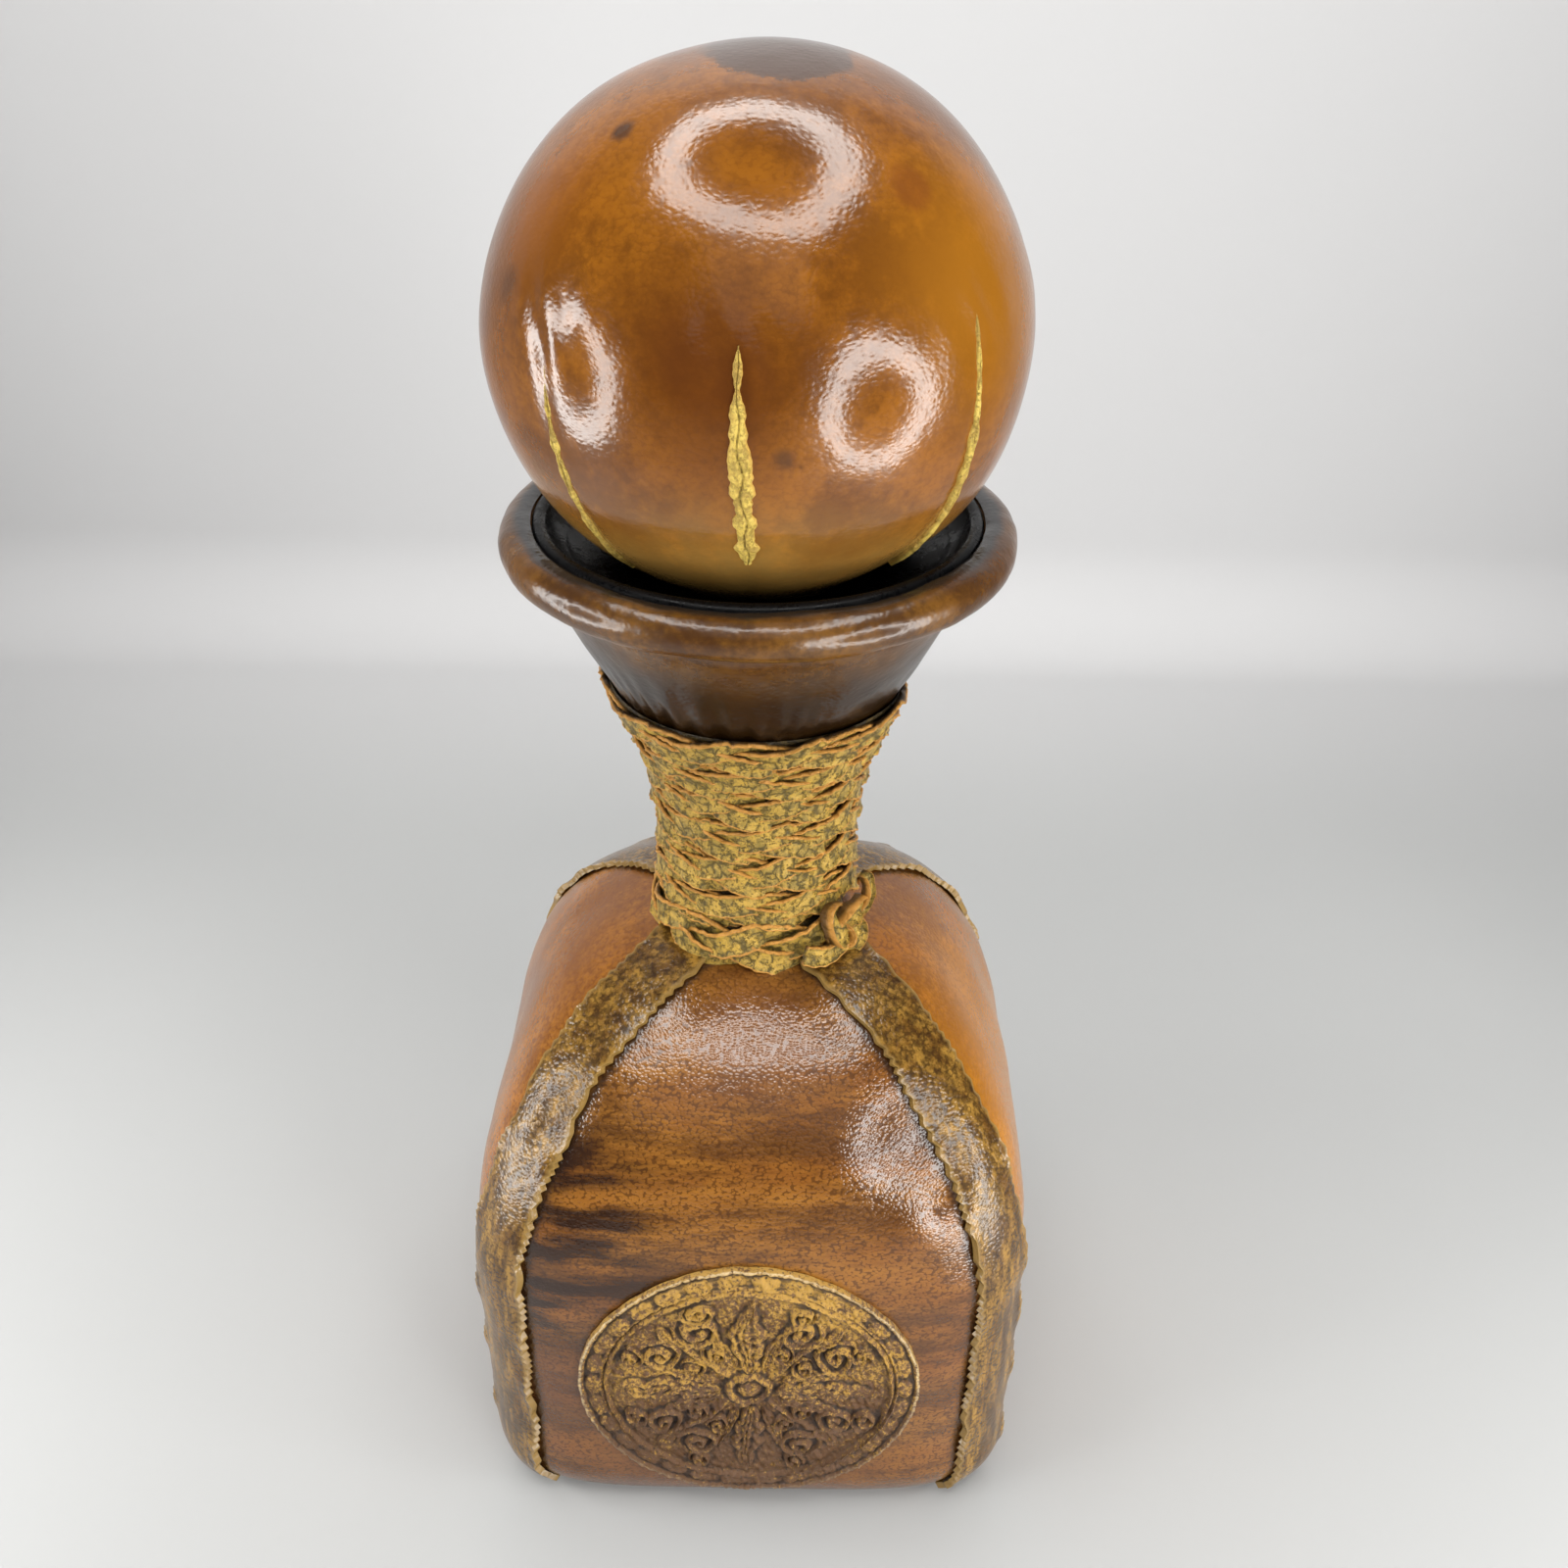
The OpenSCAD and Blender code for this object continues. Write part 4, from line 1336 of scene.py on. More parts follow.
@dataclass(frozen=True)
class Mouth:
    """The neck's leather, its flare and rolled lip, and the black liner.

    Attributes:
        radius: Outer radius of the lip.
        top: Height of the mouth's top.
        bottom: Height at which the neck's leather starts.
        sleeve: Outer radius of the neck's leather.
        lip: Radius of the lip's section.
        flare: Height of the flare.
        leather: Thickness of the leather.
        throat: Depth of the liner.
        bore: Radius of the bore.
        ball_radius: Radius of the ball.
        ball_half: Half of the ball's height.
        ball_bottom: Height of the ball's lowest point.
        around: Steps round the axis.
    """

    radius: float
    top: float
    bottom: float
    ball_bottom: float
    sleeve: float = 15.5 * MM
    lip: float = 3.5 * MM
    flare: float = 58.2 * MM
    leather: float = LEATHER
    throat: float = 19.2 * MM
    bore: float = 11 * MM
    ball_radius: float = 40 * MM
    ball_half: float = 38.8 * MM
    around: int = 300

    @property
    def lip_centre(self) -> tuple[float, float]:
        """Gives the middle of the lip's section."""
        return self.radius - self.lip, self.top - self.lip

    @cached_property
    def sleeve_line(self) -> Array:
        """Gives the leather's outer line up to the lip: straight, then a cubic curve.

        Returns:
            Its points (radius, height).
        """
        start = self.top - self.flare
        rise = self.lip_centre[1] - start
        end = circle_arc(self.lip_centre, self.lip, -125, -125, 1)[0]
        reach = self.sleeve + 0.49 * (end[0] - self.sleeve)
        control = [(self.sleeve, start), (self.sleeve + 0.2 * MM, start + 0.41 * rise),
                   (reach, start + 0.52 * rise), end]
        straight = np.stack([np.full(24, self.sleeve), np.linspace(self.bottom, start, 25)[:-1]], -1)
        return np.vstack([straight, cubic(control, np.linspace(0, 1, 84))])

    def leather_shape(self) -> Shape:
        """Gives the leather from the neck's foot to inside the lip.

        Folds fan out above the lace, a low ridge runs under the roll, and the roll's
        inner side, under the ball, is blackened.

        Returns:
            The leather, with the blackening of the roll's inner side as a layer.
        """
        roll = circle_arc(self.lip_centre, self.lip, -122, 118, 56)
        tuck = circle_arc(self.lip_centre, self.lip - self.leather, 118, -122, 24)
        back = left_of(self.sleeve_line, self.leather)[::-1][::2]
        back[:, 0] = np.maximum(back[:, 0], self.bore + 3.02 * MM)
        outer = np.vstack([self.sleeve_line, roll])
        profile = np.vstack([outer, tuck, back])
        grid, angle = turned(profile, self.around)
        way = np.gradient(outer, axis=0)
        out = np.stack([way[:, 1], -way[:, 0]], -1) / np.linalg.norm(way, axis=1, keepdims=True)
        normal, _ = turned(out, self.around)
        height = outer[:, 1:]
        front = grid[:len(outer)]
        folds = np.sin(46 * angle + 3 * np.sin(5 * angle)) * (0.5 + 0.5 * np.sin(3 * angle + 1.0))
        folds = folds * bump(height, self.top - 27 * MM, 7 * MM) * 0.26 * MM
        ridge = 0.20 * MM * bump(height, self.top - 9.6 * MM, 1.2 * MM)
        uneven = 0.10 * MM * Ripples(41, 13 * MM).at(front) + 0.03 * MM * Ripples(42, 4 * MM).at(front)
        grid[:len(outer)] = front + normal * (folds + ridge + uneven)[..., None]
        share = np.arange(len(profile))
        dye = step_between(share, len(outer) - 13, len(outer) - 7) * (share < len(outer) + len(tuck))
        stray = 0.25 * Ripples(43, 9 * MM).at(grid)
        blackened = np.clip(dye[:, None] + stray * (dye[:, None] > 0.02) * (dye[:, None] < 0.98), 0, 1)
        return ring_solid(grid, {"dye": blackened})

    def liner_shape(self) -> Shape:
        """Gives the liner: a rolled edge, a stepped dish under the ball and a throat.

        Returns:
            The liner.
        """
        edge = self.lip_centre[0] - self.lip / 2 - 0.1 * MM
        seat = self.bore + 9 * MM
        under = self.ball_half * (1 - math.sqrt(1 - (seat / self.ball_radius) ** 2))
        seat_z = self.ball_bottom + under - 0.35 * MM
        throat, floor = self.bore + 0.5 * MM, self.top - self.throat
        roll = circle_arc((edge - 1.2 * MM, self.top - 1.1 * MM), 1.2 * MM, 0, 165, 22)
        first = cubic([roll[-1], roll[-1] + (-0.6 * MM, -1.2 * MM), (edge - 4.2 * MM, self.top - 3.2 * MM),
                       (edge - 5.0 * MM, self.top - 3.4 * MM)], np.linspace(0, 1, 16))[1:]
        dish = cubic([first[-1], first[-1] + (-1.6 * MM, -1.8 * MM), (seat + 3 * MM, seat_z + 0.3 * MM),
                      (seat, seat_z)], np.linspace(0, 1, 24))[1:]
        fall = cubic([dish[-1], (seat - 3.5 * MM, seat_z - 2 * MM), (throat + 1.5 * MM, floor + 5 * MM),
                      (throat, floor + 1.3 * MM)], np.linspace(0, 1, 28))[1:]
        upper = np.vstack([roll, first, dish, fall, [(throat, floor)]])
        lower = left_of(np.vstack([first[4:], dish, fall]), 1.2 * MM)[::-1][::2]
        lower = np.vstack([[(throat + 1.2 * MM, floor)], lower[1:], [(edge, self.top - 2.3 * MM)]])
        grid, _ = turned(np.vstack([upper, lower]), self.around)
        return ring_solid(grid)

    def build(self, finishes: Finishes) -> None:
        """Adds the leather and the liner.

        Args:
            finishes: The materials.
        """
        add_piece("mouth_leather_cover", self.leather_shape(), finishes.mouth, Body.BOTTLE,
                  ("neck_leather",))
        add_piece("mouth_liner_dish", self.liner_shape(), finishes.plastic, Body.BOTTLE,
                  ("mouth_liner",))


@dataclass(frozen=True)
class Lace:
    """Three flat strands, plaited and wound round the neck, with a knot and a loose tail.

    Attributes:
        mouth: The neck that the lace is wound on.
        start: Height of the first turn's lower edge.
        knot: Direction of the knot, in degrees.
        width: Width of the plait.
        climb: Rise of a turn along the neck.
        turns: Number of turns.
        strand: Half width of a strand.
        gauge: Half thickness of a strand.
        wave: Length of the plait in which a strand goes across and back.
    """

    mouth: Mouth
    start: float
    knot: float = -40.0
    width: float = 7.6 * MM
    climb: float = 7.4 * MM
    turns: float = 6.75
    strand: float = 2.15 * MM
    gauge: float = 0.40 * MM
    wave: float = 38 * MM

    def climbed(self, turn: Array) -> Array:
        """Gives the turns climbed: each lies level, then steps up over its last quarter."""
        return np.floor(turn) + step_between(turn - np.floor(turn), 0.75, 1.0)

    def band(self, turn: Array) -> tuple[Array, Array, Array]:
        """Gives the plait's middle line.

        Args:
            turn: Turns from the knot.

        Returns:
            The points on the neck's leather, the direction along the neck and the
            direction out from it.
        """
        line = self.mouth.sleeve_line
        run = run_along(line)
        at = self.start - self.mouth.bottom + self.width / 2 + self.climb * self.climbed(turn)
        place = np.stack([np.interp(at, run, line[:, k]) for k in (0, 1)], -1)
        ahead = np.stack([np.interp(at + 2 * MM, run, line[:, k]) for k in (0, 1)], -1)
        behind = np.stack([np.interp(at - 2 * MM, run, line[:, k]) for k in (0, 1)], -1)
        way = unit(ahead - behind)
        angle = math.radians(self.knot) - 2 * math.pi * turn
        radial = np.stack([np.cos(angle), np.sin(angle), 0 * angle], -1)
        upright = np.array([0.0, 0.0, 1.0])
        point = place[:, :1] * radial + place[:, 1:] * upright
        along = way[:, :1] * radial + way[:, 1:] * upright
        out = way[:, 1:] * radial - way[:, :1] * upright
        return point, along, out

    def section(self) -> tuple[Array, Array, Array]:
        """Gives a strand's section.

        Returns:
            Its points, from -1 to 1 across, how raw each of them is, and how much painted shade each carries
            on the strand's underside.
        """
        side = np.array([
            (1.0, 0.1), (0.99, 0.9), (0.93, 1.55), (0.84, 1.6), (0.74, 1.15), (0.62, 0.8), (0.3, 0.85)])
        top = np.vstack([side, [(0.0, 0.95)], side[::-1] * (-1, 1)])
        points = np.vstack([top, [(-0.9, -0.9), (0.0, -0.9), (0.9, -0.9)]])
        # The lower points of the section carry painted shade.
        return points, step_between(np.abs(points[:, 0]), 0.74, 0.88), (points[:, 1] < 0.5) * 0.8

    def strand_shape(self, number: int) -> Shape:
        """Gives one strand of the plait.

        Along the plait it goes from side to side as a blunted cosine, and over and under
        its neighbours twice as often. Its cut edges are ragged, and the turns wander a
        little from their even climb.

        Args:
            number: Number of the strand, from 0.

        Returns:
            The strand, with its raw edges and the painted shade on its underside as layers.
        """
        turn = np.linspace(0, self.turns, 2600)
        point, along, out = self.band(turn)
        run = run_along(point)
        common = np.stack([run, 0 * run, 0 * run], -1)
        place = np.stack([run, np.full_like(run, 7.0 * number), 0 * run], -1)
        loose = 1 - step_between(turn, 0.60, 0.95)
        phase = 2 * math.pi * (run / self.wave + number / 3) + 0.5 * Ripples(51, 45 * MM).at(common)
        reach = (self.width / 2 - self.strand) * (1.15 + 0.6 * loose)
        aside = reach * (np.cos(phase) + np.cos(3 * phase) / 9)
        wander, stray = Ripples(55, 38 * MM).at(common), Ripples(52 + number, 9 * MM).at(place)
        aside += 0.16 * MM * wander + 0.12 * MM * stray
        aside += -0.3 * MM * loose
        over = 0.66 * MM * (1 + 0.5 * loose) * np.sin(2 * phase) + 1.45 * MM + 0.9 * MM * loose
        over += 0.12 * MM * Ripples(58 + number, 12 * MM).at(place)
        middle = point + aside[:, None] * along + over[:, None] * out
        side, up = sides_of(middle, out)
        lean = (0.14 * np.cos(phase) * np.sign(np.sin(phase)))[:, None]
        side, up = side * np.cos(lean) + up * np.sin(lean), up * np.cos(lean) - side * np.sin(lean)
        outline, edge, shade = self.section()
        left, right = (
            1 + 0.055 * Ripples(seed + number, 1.3 * MM).at(place)
            + 0.05 * Ripples(seed + 10 + number, 7 * MM).at(place) for seed in (61, 64))
        across = outline[:, 0][None, :]
        swell = np.where(across < 0, left[:, None], right[:, None]) * (1 + 0.15 * loose[:, None])
        wide = self.strand * across * (1 + (swell - 1) * np.abs(across) ** 2)
        fray = 1 + 0.22 * Ripples(81 + number, 1.0 * MM).at(place)[:, None] * edge[None, :]
        thick = self.gauge * outline[:, 1][None, :] * fray
        layers = {"edge": edge[None, :], "hollow": shade[None, :]}
        return swept(middle, side, up, np.stack([wide, thick], -1), layers)

    def shade_band_shape(self) -> Shape:
        """Gives a thin band painted dark as shade, which closes the plait from behind along its middle line.

        Returns:
            The band, painted almost all over with shade.
        """
        turn = np.linspace(0, self.turns, 900)
        point, along, out = self.band(turn)
        loose = 1 - step_between(turn, 0.60, 0.95)
        lift = (0.45 * MM + 0.5 * MM * loose)[:, None]
        section = MM * np.array([
            (3.5, 0.0), (3.3, 0.35), (0.0, 0.4), (-3.3, 0.35), (-3.5, 0.0), (0.0, -0.1)])
        # Painted shade over nearly the whole band.
        layers = {"edge": np.zeros((1, 1)), "hollow": np.full((1, 1), 0.85)}
        return swept(point + lift * out, along, out, section, layers)

    def knot_shape(self) -> Shape:
        """Gives the knot, a trefoil pulled small, and the tail that curls up beside it.

        Returns:
            The knot, the tail and the end under it as one shape.
        """
        outline, edge, shade = self.section()
        angle = math.radians(self.knot)
        out = np.array([math.cos(angle), math.sin(angle), 0.12])
        right = np.array([-math.sin(angle), math.cos(angle), 0.0])
        upright = np.array([0.0, 0.0, 1.0])
        centre = (self.mouth.sleeve + 4.6 * MM) * out + (self.start + 3.4 * MM) * upright
        turn = np.linspace(0, 2 * math.pi, 150)
        loops = np.stack([np.sin(turn) + 2 * np.sin(2 * turn), np.cos(turn) - 2 * np.cos(2 * turn),
                          -np.sin(3 * turn)], -1) * np.array([1.35, 1.6, 1.3]) * MM
        share = np.linspace(0, 1, 40)
        tail = cubic([(1.5, 1.0, 0.6), (5.0, 2.2, 2.0), (6.6, 5.2, 0.6), (4.8, 8.4, 0.4)], share) * MM
        end = cubic(
            [(-1.0, -1.5, 0.8), (-4.0, -4.4, 1.6), (-7.0, -3.2, 0.4), (-9.5, -1.6, -0.8)], share) * MM
        shapes = []
        for path, wide, thick in ((loops, 1.8, 1.1), (tail, 0.85, 0.8), (end, 1.8, 0.6)):
            middle = centre + path[:, :1] * right + path[:, 1:2] * upright + path[:, 2:] * out
            side, up = sides_of(middle, out)
            rough = 1 + 0.08 * Ripples(71, 1.5 * MM).at(middle)[:, None, None]
            section = outline[None] * np.array([wide, thick]) * MM * rough
            # The knot and tail carry the same painted shade underneath.
            layers = {"edge": edge[None, :], "hollow": shade[None, :]}
            shapes.append(swept(middle, side, up, section, layers))
        return joined(shapes)

    def build(self, finishes: Finishes) -> None:
        """Adds the strands and the knot.

        Args:
            finishes: The materials.
        """
        for number in range(3):
            add_piece(f"lace_strand_{number + 1}", self.strand_shape(number), finishes.lace,
                      Body.BOTTLE, ("neck_lace",), sharp=70)
        add_piece("lace_shade_band", self.shade_band_shape(), finishes.lace, Body.BOTTLE,
                  ("neck_lace",))
        add_piece("lace_knot_and_tail", self.knot_shape(), finishes.lace, Body.BOTTLE,
                  ("lace_knot",), sharp=70)


# ---------------------------------------------------------------- stopper


@dataclass(frozen=True)
class Dart:
    """One cut that takes up the fullness of the ball's leather.

    Attributes:
        direction: Direction of the cut seen from above, in degrees from the front.
        top: Elevation of its upper end, in degrees.
        bottom: Elevation of its lower end.
        width: Half width of its raised edges.
    """

    direction: float
    top: float
    bottom: float
    width: float


@dataclass(frozen=True)
class StopperBall:
    """The ball's leather and the raised edges of its darts.

    Attributes:
        radius: Radius of the ball.
        half: Half of its height.
        centre: Height of its middle.
        darts: The cuts round it.
    """

    radius: float
    half: float
    centre: float
    darts: tuple[Dart, ...] = (
        Dart(-2, 14, -35, 1.45 * MM), Dart(48, 17, -48, 0.85 * MM), Dart(94, 15, -46, 0.8 * MM),
        Dart(139, 12, -49, 1.0 * MM), Dart(184, 16, -45, 0.7 * MM), Dart(229, 13, -48, 0.9 * MM),
        Dart(272, 15, -46, 0.6 * MM), Dart(318, 16, -48, 0.95 * MM))

    def points(self, direction: Array, elevation: Array, lift: Array | float = 0.0) -> Array:
        """Gives points of the flattened sphere.

        Args:
            direction: Direction seen from above, in radians.
            elevation: Elevation from the middle, in radians.
            lift: Distance out from the sphere.

        Returns:
            The points.
        """
        flat = (self.radius + lift) * np.cos(elevation)
        return np.stack(np.broadcast_arrays(
            flat * np.cos(direction), flat * np.sin(direction),
            self.centre + (self.half + lift) * np.sin(elevation)), -1)

    def sway(self, dart: Dart, elevation: Array) -> Array:
        """Gives a dart's direction at each elevation: nearly straight, with a slight wander."""
        turn = math.radians(Face.FRONT.value + dart.direction)
        return turn + 0.012 * np.sin(4.5 * elevation + dart.direction)

    def dents(self, direction: Array, elevation: Array) -> Array:
        """Gives how far the leather dips into the darts and puckers at their upper ends.

        Args:
            direction: Direction seen from above, in radians.
            elevation: Elevation from the ball's middle, in radians.

        Returns:
            The height over the smooth ball at each point.
        """
        total = 0.3 * MM * Ripples(81, 30 * MM).at(self.points(direction, elevation))
        for dart in self.darts:
            off = (direction - self.sway(dart, elevation) + math.pi) % (2 * math.pi) - math.pi
            apart = off * np.cos(elevation) * self.radius
            top = math.radians(dart.top)
            inside = 1 - step_between(elevation, top - 0.10, top + 0.12)
            total = total - 0.16 * MM * bump(apart, 0.0, 1.7 * MM) * inside
            above = (elevation - top) * self.radius
            pucker = bump(apart, 0.0, 5.5 * MM) * bump(above, -0.5 * MM, 5.0 * MM)
            total = total + 0.24 * MM * pucker * np.cos(apart / (1.15 * MM) + 0.35 * above / MM)
        return total

    def leather_shape(self) -> Shape:
        """Gives the ball's skin, closed at both poles.

        Returns:
            The skin.
        """
        rows, around = 212, 440
        elevation = np.linspace(-math.pi / 2, math.pi / 2, rows)[1:-1, None]
        direction = full_turn(around)[None, :]
        elevation, direction = np.broadcast_arrays(elevation, direction)
        grid = self.points(direction, elevation, self.dents(direction, elevation))
        count = grid.shape[0] * around
        ring = np.arange(around)
        after = np.roll(ring, -1)
        last = count - around
        poles = np.stack([grid[0].mean(0), grid[-1].mean(0)])
        low = np.stack([ring, after, np.full(around, count)], -1)
        high = np.stack([last + after, last + ring, np.full(around, count + 1)], -1)
        points = np.concatenate([grid.reshape(-1, 3), poles])
        return Shape(points, [grid_quads(grid.shape[0], around, False, True), low, high]).outward()

    def dart_shape(self, dart: Dart) -> Shape:
        """Gives a dart's two raised edges, pressed together with a slit between them.

        Across, the height is half of an ellipse less a narrow bell in the middle. Along,
        the width swells and pinches like a row of beads, and tapers at both ends.

        Args:
            dart: The dart.

        Returns:
            Its edges, with the cut edge and the painted shade in the slit as layers.
        """
        elevation = np.radians(np.linspace(dart.top, dart.bottom, 330))[:, None]
        across = np.linspace(-1, 1, 15)[None, :]
        share = np.linspace(0, 1, 330)[:, None]
        place = np.concatenate([elevation * self.radius, 0 * elevation + dart.direction, 0 * elevation], -1)
        beads = 1 + 0.26 * Ripples(91 + int(dart.direction) % 360, 4.2 * MM).at(place)[:, None]
        beads = beads + 0.12 * Ripples(591 + int(dart.direction) % 360, 1.5 * MM).at(place)[:, None]
        taper = step_between(share, 0.0, 0.10) ** 0.5 * (0.45 + 0.55 * step_between(share, 0.15, 0.5))
        taper = taper * (1 - 0.55 * step_between(share, 0.88, 1.0))
        half = np.maximum(dart.width * beads * taper, 0.10 * MM)
        direction = self.sway(dart, elevation) + across * half / (self.radius * np.cos(elevation))
        slit = 0.45 * bump(across, 0.2 * np.sin(9 * share * math.pi), 0.13)
        dome = np.sqrt(np.clip(1 - across ** 2, 0, 1)) * (1 - slit)
        tall = 0.85 * MM * (0.4 + 0.6 * taper) * (0.8 + 0.25 * beads)
        direction, elevation = np.broadcast_arrays(direction, elevation)
        outer = self.points(direction, elevation, tall * dome - 0.35 * MM)
        inner = self.points(direction, elevation, -1.3 * MM)
        # Painted shade along the slit between the two edges.
        hollow = 0.45 * bump(across, 0.2 * np.sin(9 * share * math.pi), 0.07) * np.ones_like(direction)
        edge = np.broadcast_to(step_between(np.abs(across), 0.6, 1.0), direction.shape)
        return slab(outer, inner, {"edge": edge, "hollow": hollow})

    def build(self, finishes: Finishes) -> None:
        """Adds the leather and the darts.

        Args:
            finishes: The materials.
        """
        add_piece("ball_leather_cover", self.leather_shape(), finishes.ball, Body.BALL,
                  ("stopper_leather",))
        for number, dart in enumerate(self.darts, 1):
            add_piece(f"ball_dart_{number}", self.dart_shape(dart), finishes.dart, Body.BALL,
                      sharp=80)


# ---------------------------------------------------------------- studio


@dataclass(frozen=True)
class Studio:
    """Pale floor and backdrop, soft lights and the camera."""

    lens: float = 34.43
    sensor: float = 36.0
    camera_at: Point = (4.65 * MM, -220.76 * MM, 279.14 * MM)
    pitch: float = 32.77
    roll: float = 0.89
    backdrop: float = 0.33
    bend: float = 0.04
    backdrop_top: float = 1.2
    floor_front: float = -1.5
    floor_half: float = 2.2
    ring_steps: int = 64
    ring_hole: float = 0.64
    paper: Colour = (0.385, 0.39, 0.39)
    paper_dark: Colour = (0.355, 0.36, 0.36)
    paper_back: Colour = (0.50, 0.50, 0.505)

    def add_camera(self) -> None:
        """Adds the camera, tilted down towards the neck."""
        data = bpy.data.cameras.new("camera")
        data.lens = self.lens
        data.sensor_width = self.sensor
        data.clip_start = 0.01
        camera = bpy.data.objects.new("camera", data)
        camera.location = self.camera_at
        camera.rotation_mode = "XYZ"
        camera.rotation_euler = (math.radians(90 - self.pitch), 0.0, 0.0)
        bpy.context.scene.collection.objects.link(camera)
        bpy.context.view_layer.update()
        camera.matrix_world = camera.matrix_world @ Matrix.Rotation(math.radians(self.roll), 4, "Z")
        bpy.context.scene.camera = camera

    def add_sweep(self) -> None:
        """Adds the floor, which bends up into the backdrop."""
        bend = circle_arc((self.backdrop - self.bend, self.bend), self.bend, -90, 0, 16)
        line = np.vstack([[(self.floor_front, 0.0)], bend, [(self.backdrop, self.backdrop_top)]])
        x = np.array([-self.floor_half, self.floor_half])
        grid = np.stack(np.broadcast_arrays(x[None, :], line[:, :1], line[:, 1:]), -1)
        mesh = bpy.data.meshes.new("sweep")
        faces = grid_quads(len(line), 2)[:, ::-1]
        mesh.from_pydata(grid.reshape(-1, 3).tolist(), [], faces.tolist())
        mesh.shade_smooth()
        material, graph, shader = start_material("sweep paper")
        place = graph.place()
        tone = graph.blend(graph.noise(place, 6.0, 3.0), self.paper_dark, self.paper)
        depth = graph.add("ShaderNodeSeparateXYZ", {0: place}).outputs[1]
        tone = graph.blend(graph.step(depth, 0.5 * self.backdrop, self.backdrop), tone, self.paper_back)
        graph.feed(shader, {"Base Color": tone, "Roughness": 0.8})
        mesh.materials.append(material)
        sweep = bpy.data.objects.new("sweep", mesh)
        bpy.context.scene.collection.objects.link(sweep)

    def add_ring_light(
        self, name: str, target: Point, way: Point, distance: float, radius: float, power: float,
    ) -> None:
        """Adds a ring-shaped lamp that faces a point.

        Args:
            name: Name of the lamp.
            target: The point that it faces.
            way: Direction from that point to the lamp.
            distance: Distance of the lamp.
            radius: Outer radius of the ring.
            power: Strength of its light.
        """
        way = np.array(way) / np.linalg.norm(way)
        side = np.cross(way, (0.0, 1.0, 0.3))
        side /= np.linalg.norm(side)
        up = np.cross(way, side)
        angle = full_turn(self.ring_steps)
        spread = np.array([self.ring_hole, 1.0])[:, None, None] * radius
        ring = np.cos(angle)[:, None] * side + np.sin(angle)[:, None] * up
        grid = np.array(target) + distance * way + spread * ring
        mesh = bpy.data.meshes.new(name)
        mesh.from_pydata(grid.reshape(-1, 3).tolist(), [],
                         grid_quads(2, self.ring_steps, False, True).tolist())
        material = bpy.data.materials.new(name)
        material.use_nodes = True
        graph = Graph(material.node_tree)
        glow = graph.add("ShaderNodeEmission", {"Color": (1.0, 0.99, 0.97, 1.0), "Strength": power})
        out = material.node_tree.nodes["Material Output"]
        graph.tree.links.new(glow.outputs[0], out.inputs["Surface"])
        mesh.materials.append(material)
        lamp = bpy.data.objects.new(name, mesh)
        bpy.context.scene.collection.objects.link(lamp)
        lamp.visible_camera = False

    def add_area_light(self, name: str, place: Point, target: Point, size: float, power: float) -> None:
        """Adds a square lamp that faces a point.

        Args:
            name: Name of the lamp.
            place: Where it stands.
            target: The point that it faces.
            size: Its width.
            power: Strength of its light.
        """
        data = bpy.data.lights.new(name, "AREA")
        data.size = size
        data.energy = power
        lamp = bpy.data.objects.new(name, data)
        bpy.context.scene.collection.objects.link(lamp)
        lamp.location = place
        away = np.array(target) - np.array(place)
        yaw = math.atan2(-away[0], away[1])
        tilt = math.acos(-away[2] / np.linalg.norm(away))
        lamp.rotation_euler = (tilt, 0.0, yaw)
        lamp.visible_camera = False

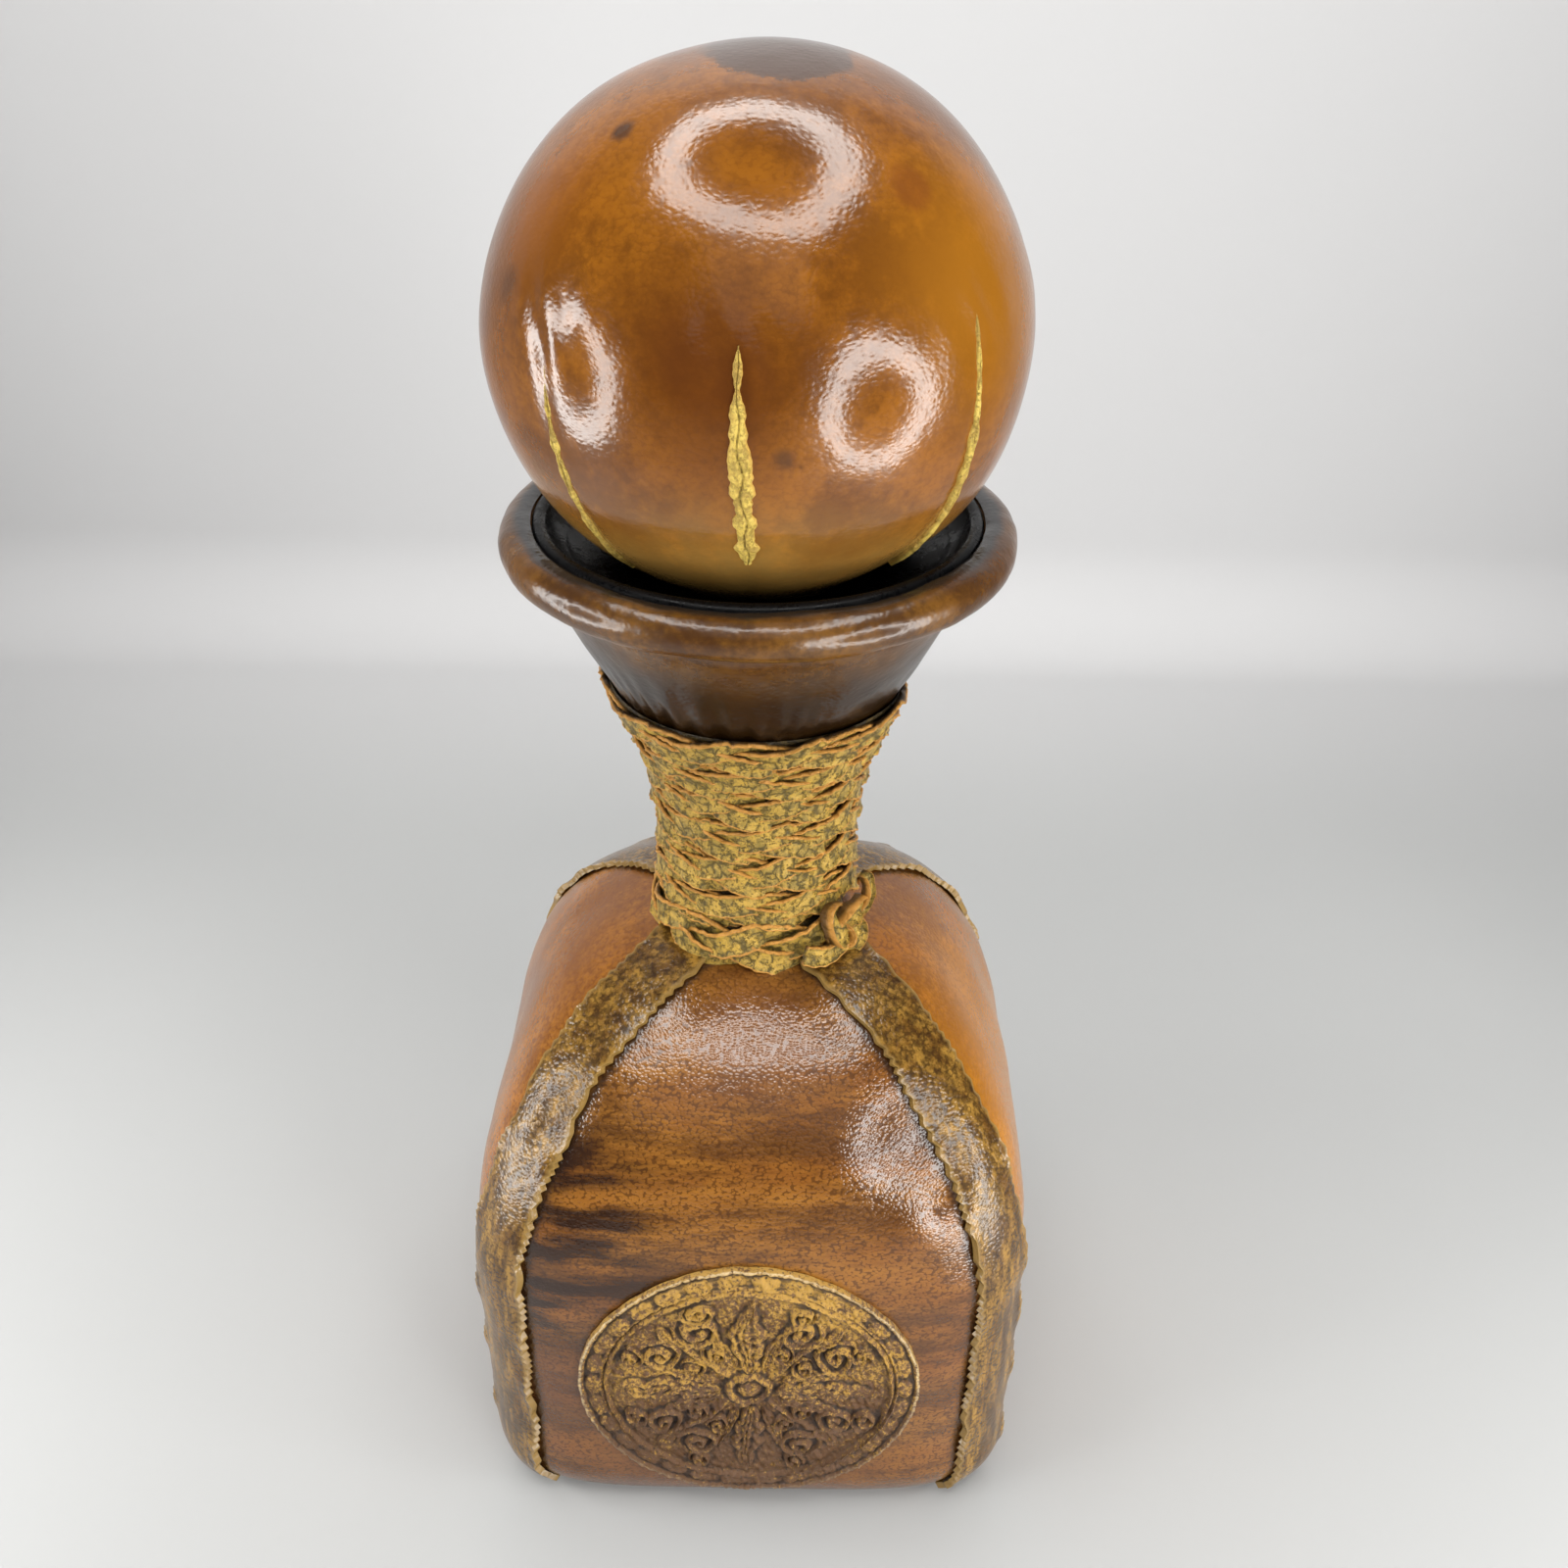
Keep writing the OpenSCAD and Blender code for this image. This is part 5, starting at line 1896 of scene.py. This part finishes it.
    def build(self, middle: Point) -> None:
        """Adds the floor and the lights.

        Args:
            middle: Middle of the ball, which the ring lamps face.
        """
        self.add_sweep()
        self.add_ring_light("top_ring", middle, (-0.001, -0.134, 0.991), 0.451, 0.300, 10.5)
        self.add_ring_light("left_ring", middle, (-0.943, -0.310, -0.117), 0.330, 0.138, 13.0)
        self.add_ring_light("right_ring", middle, (0.710, -0.666, -0.227), 0.335, 0.160, 14.0)
        self.add_area_light("front_fill", (0.0, -0.9, 0.9), (0.0, 0.0, 0.1), 0.8, 1.0)
        world = bpy.data.worlds.new("studio")
        world.use_nodes = True
        graph = Graph(world.node_tree)
        sky = world.node_tree.nodes["Background"]
        graph.feed(sky, {"Color": (0.93, 0.95, 1.0, 1.0), "Strength": 0.09})
        bpy.context.scene.world = world
        bpy.context.scene.view_settings.view_transform = "Standard"


def dress(nodes: dict[str, bpy.types.Material]) -> None:
    """Gives CAD nodes that stay in view their materials.

    Args:
        nodes: The material of each node, by the node's name.
    """
    for name, material in nodes.items():
        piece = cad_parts[name]
        if not piece.material_slots:
            piece.data.materials.append(material)
        piece.material_slots[0].material = material


def main() -> None:
    """Builds the camera, the pieces and the studio."""
    logging.basicConfig(level=logging.INFO, format="%(name)s: %(message)s")
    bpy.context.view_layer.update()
    studio = Studio()
    studio.add_camera()
    finishes = Finishes()

    panel_low, panel_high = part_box("front_panel")
    shape = BodyShape(half=-panel_low.y, top=panel_high.z)
    Covering(shape).build(finishes)

    disc_low, disc_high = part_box("medallion")
    Medallion(shape, (disc_high.x - disc_low.x) / 2, (disc_high.z + disc_low.z) / 2).build(finishes)

    sleeve_low, sleeve_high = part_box("neck_leather")
    core_low, core_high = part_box("stopper_core")
    mouth = Mouth(sleeve_high.x, sleeve_high.z, sleeve_low.z, core_low.z - LEATHER)
    mouth.build(finishes)
    Lace(mouth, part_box("neck_lace")[0].z).build(finishes)

    half = (core_high.z - core_low.z) / 2 + LEATHER
    ball = StopperBall(core_high.x + LEATHER, half, (core_high.z + core_low.z) / 2)
    ball.build(finishes)

    dress({
        "glass_bottle": finishes.glass, "base_pad": finishes.base, "mouth_cone": finishes.cone,
        "cork": finishes.cork, "stopper_peg": finishes.wood, "stopper_core": finishes.wood})
    studio.build((0.0, 0.0, ball.centre))


if __name__ == "__main__":
    main()
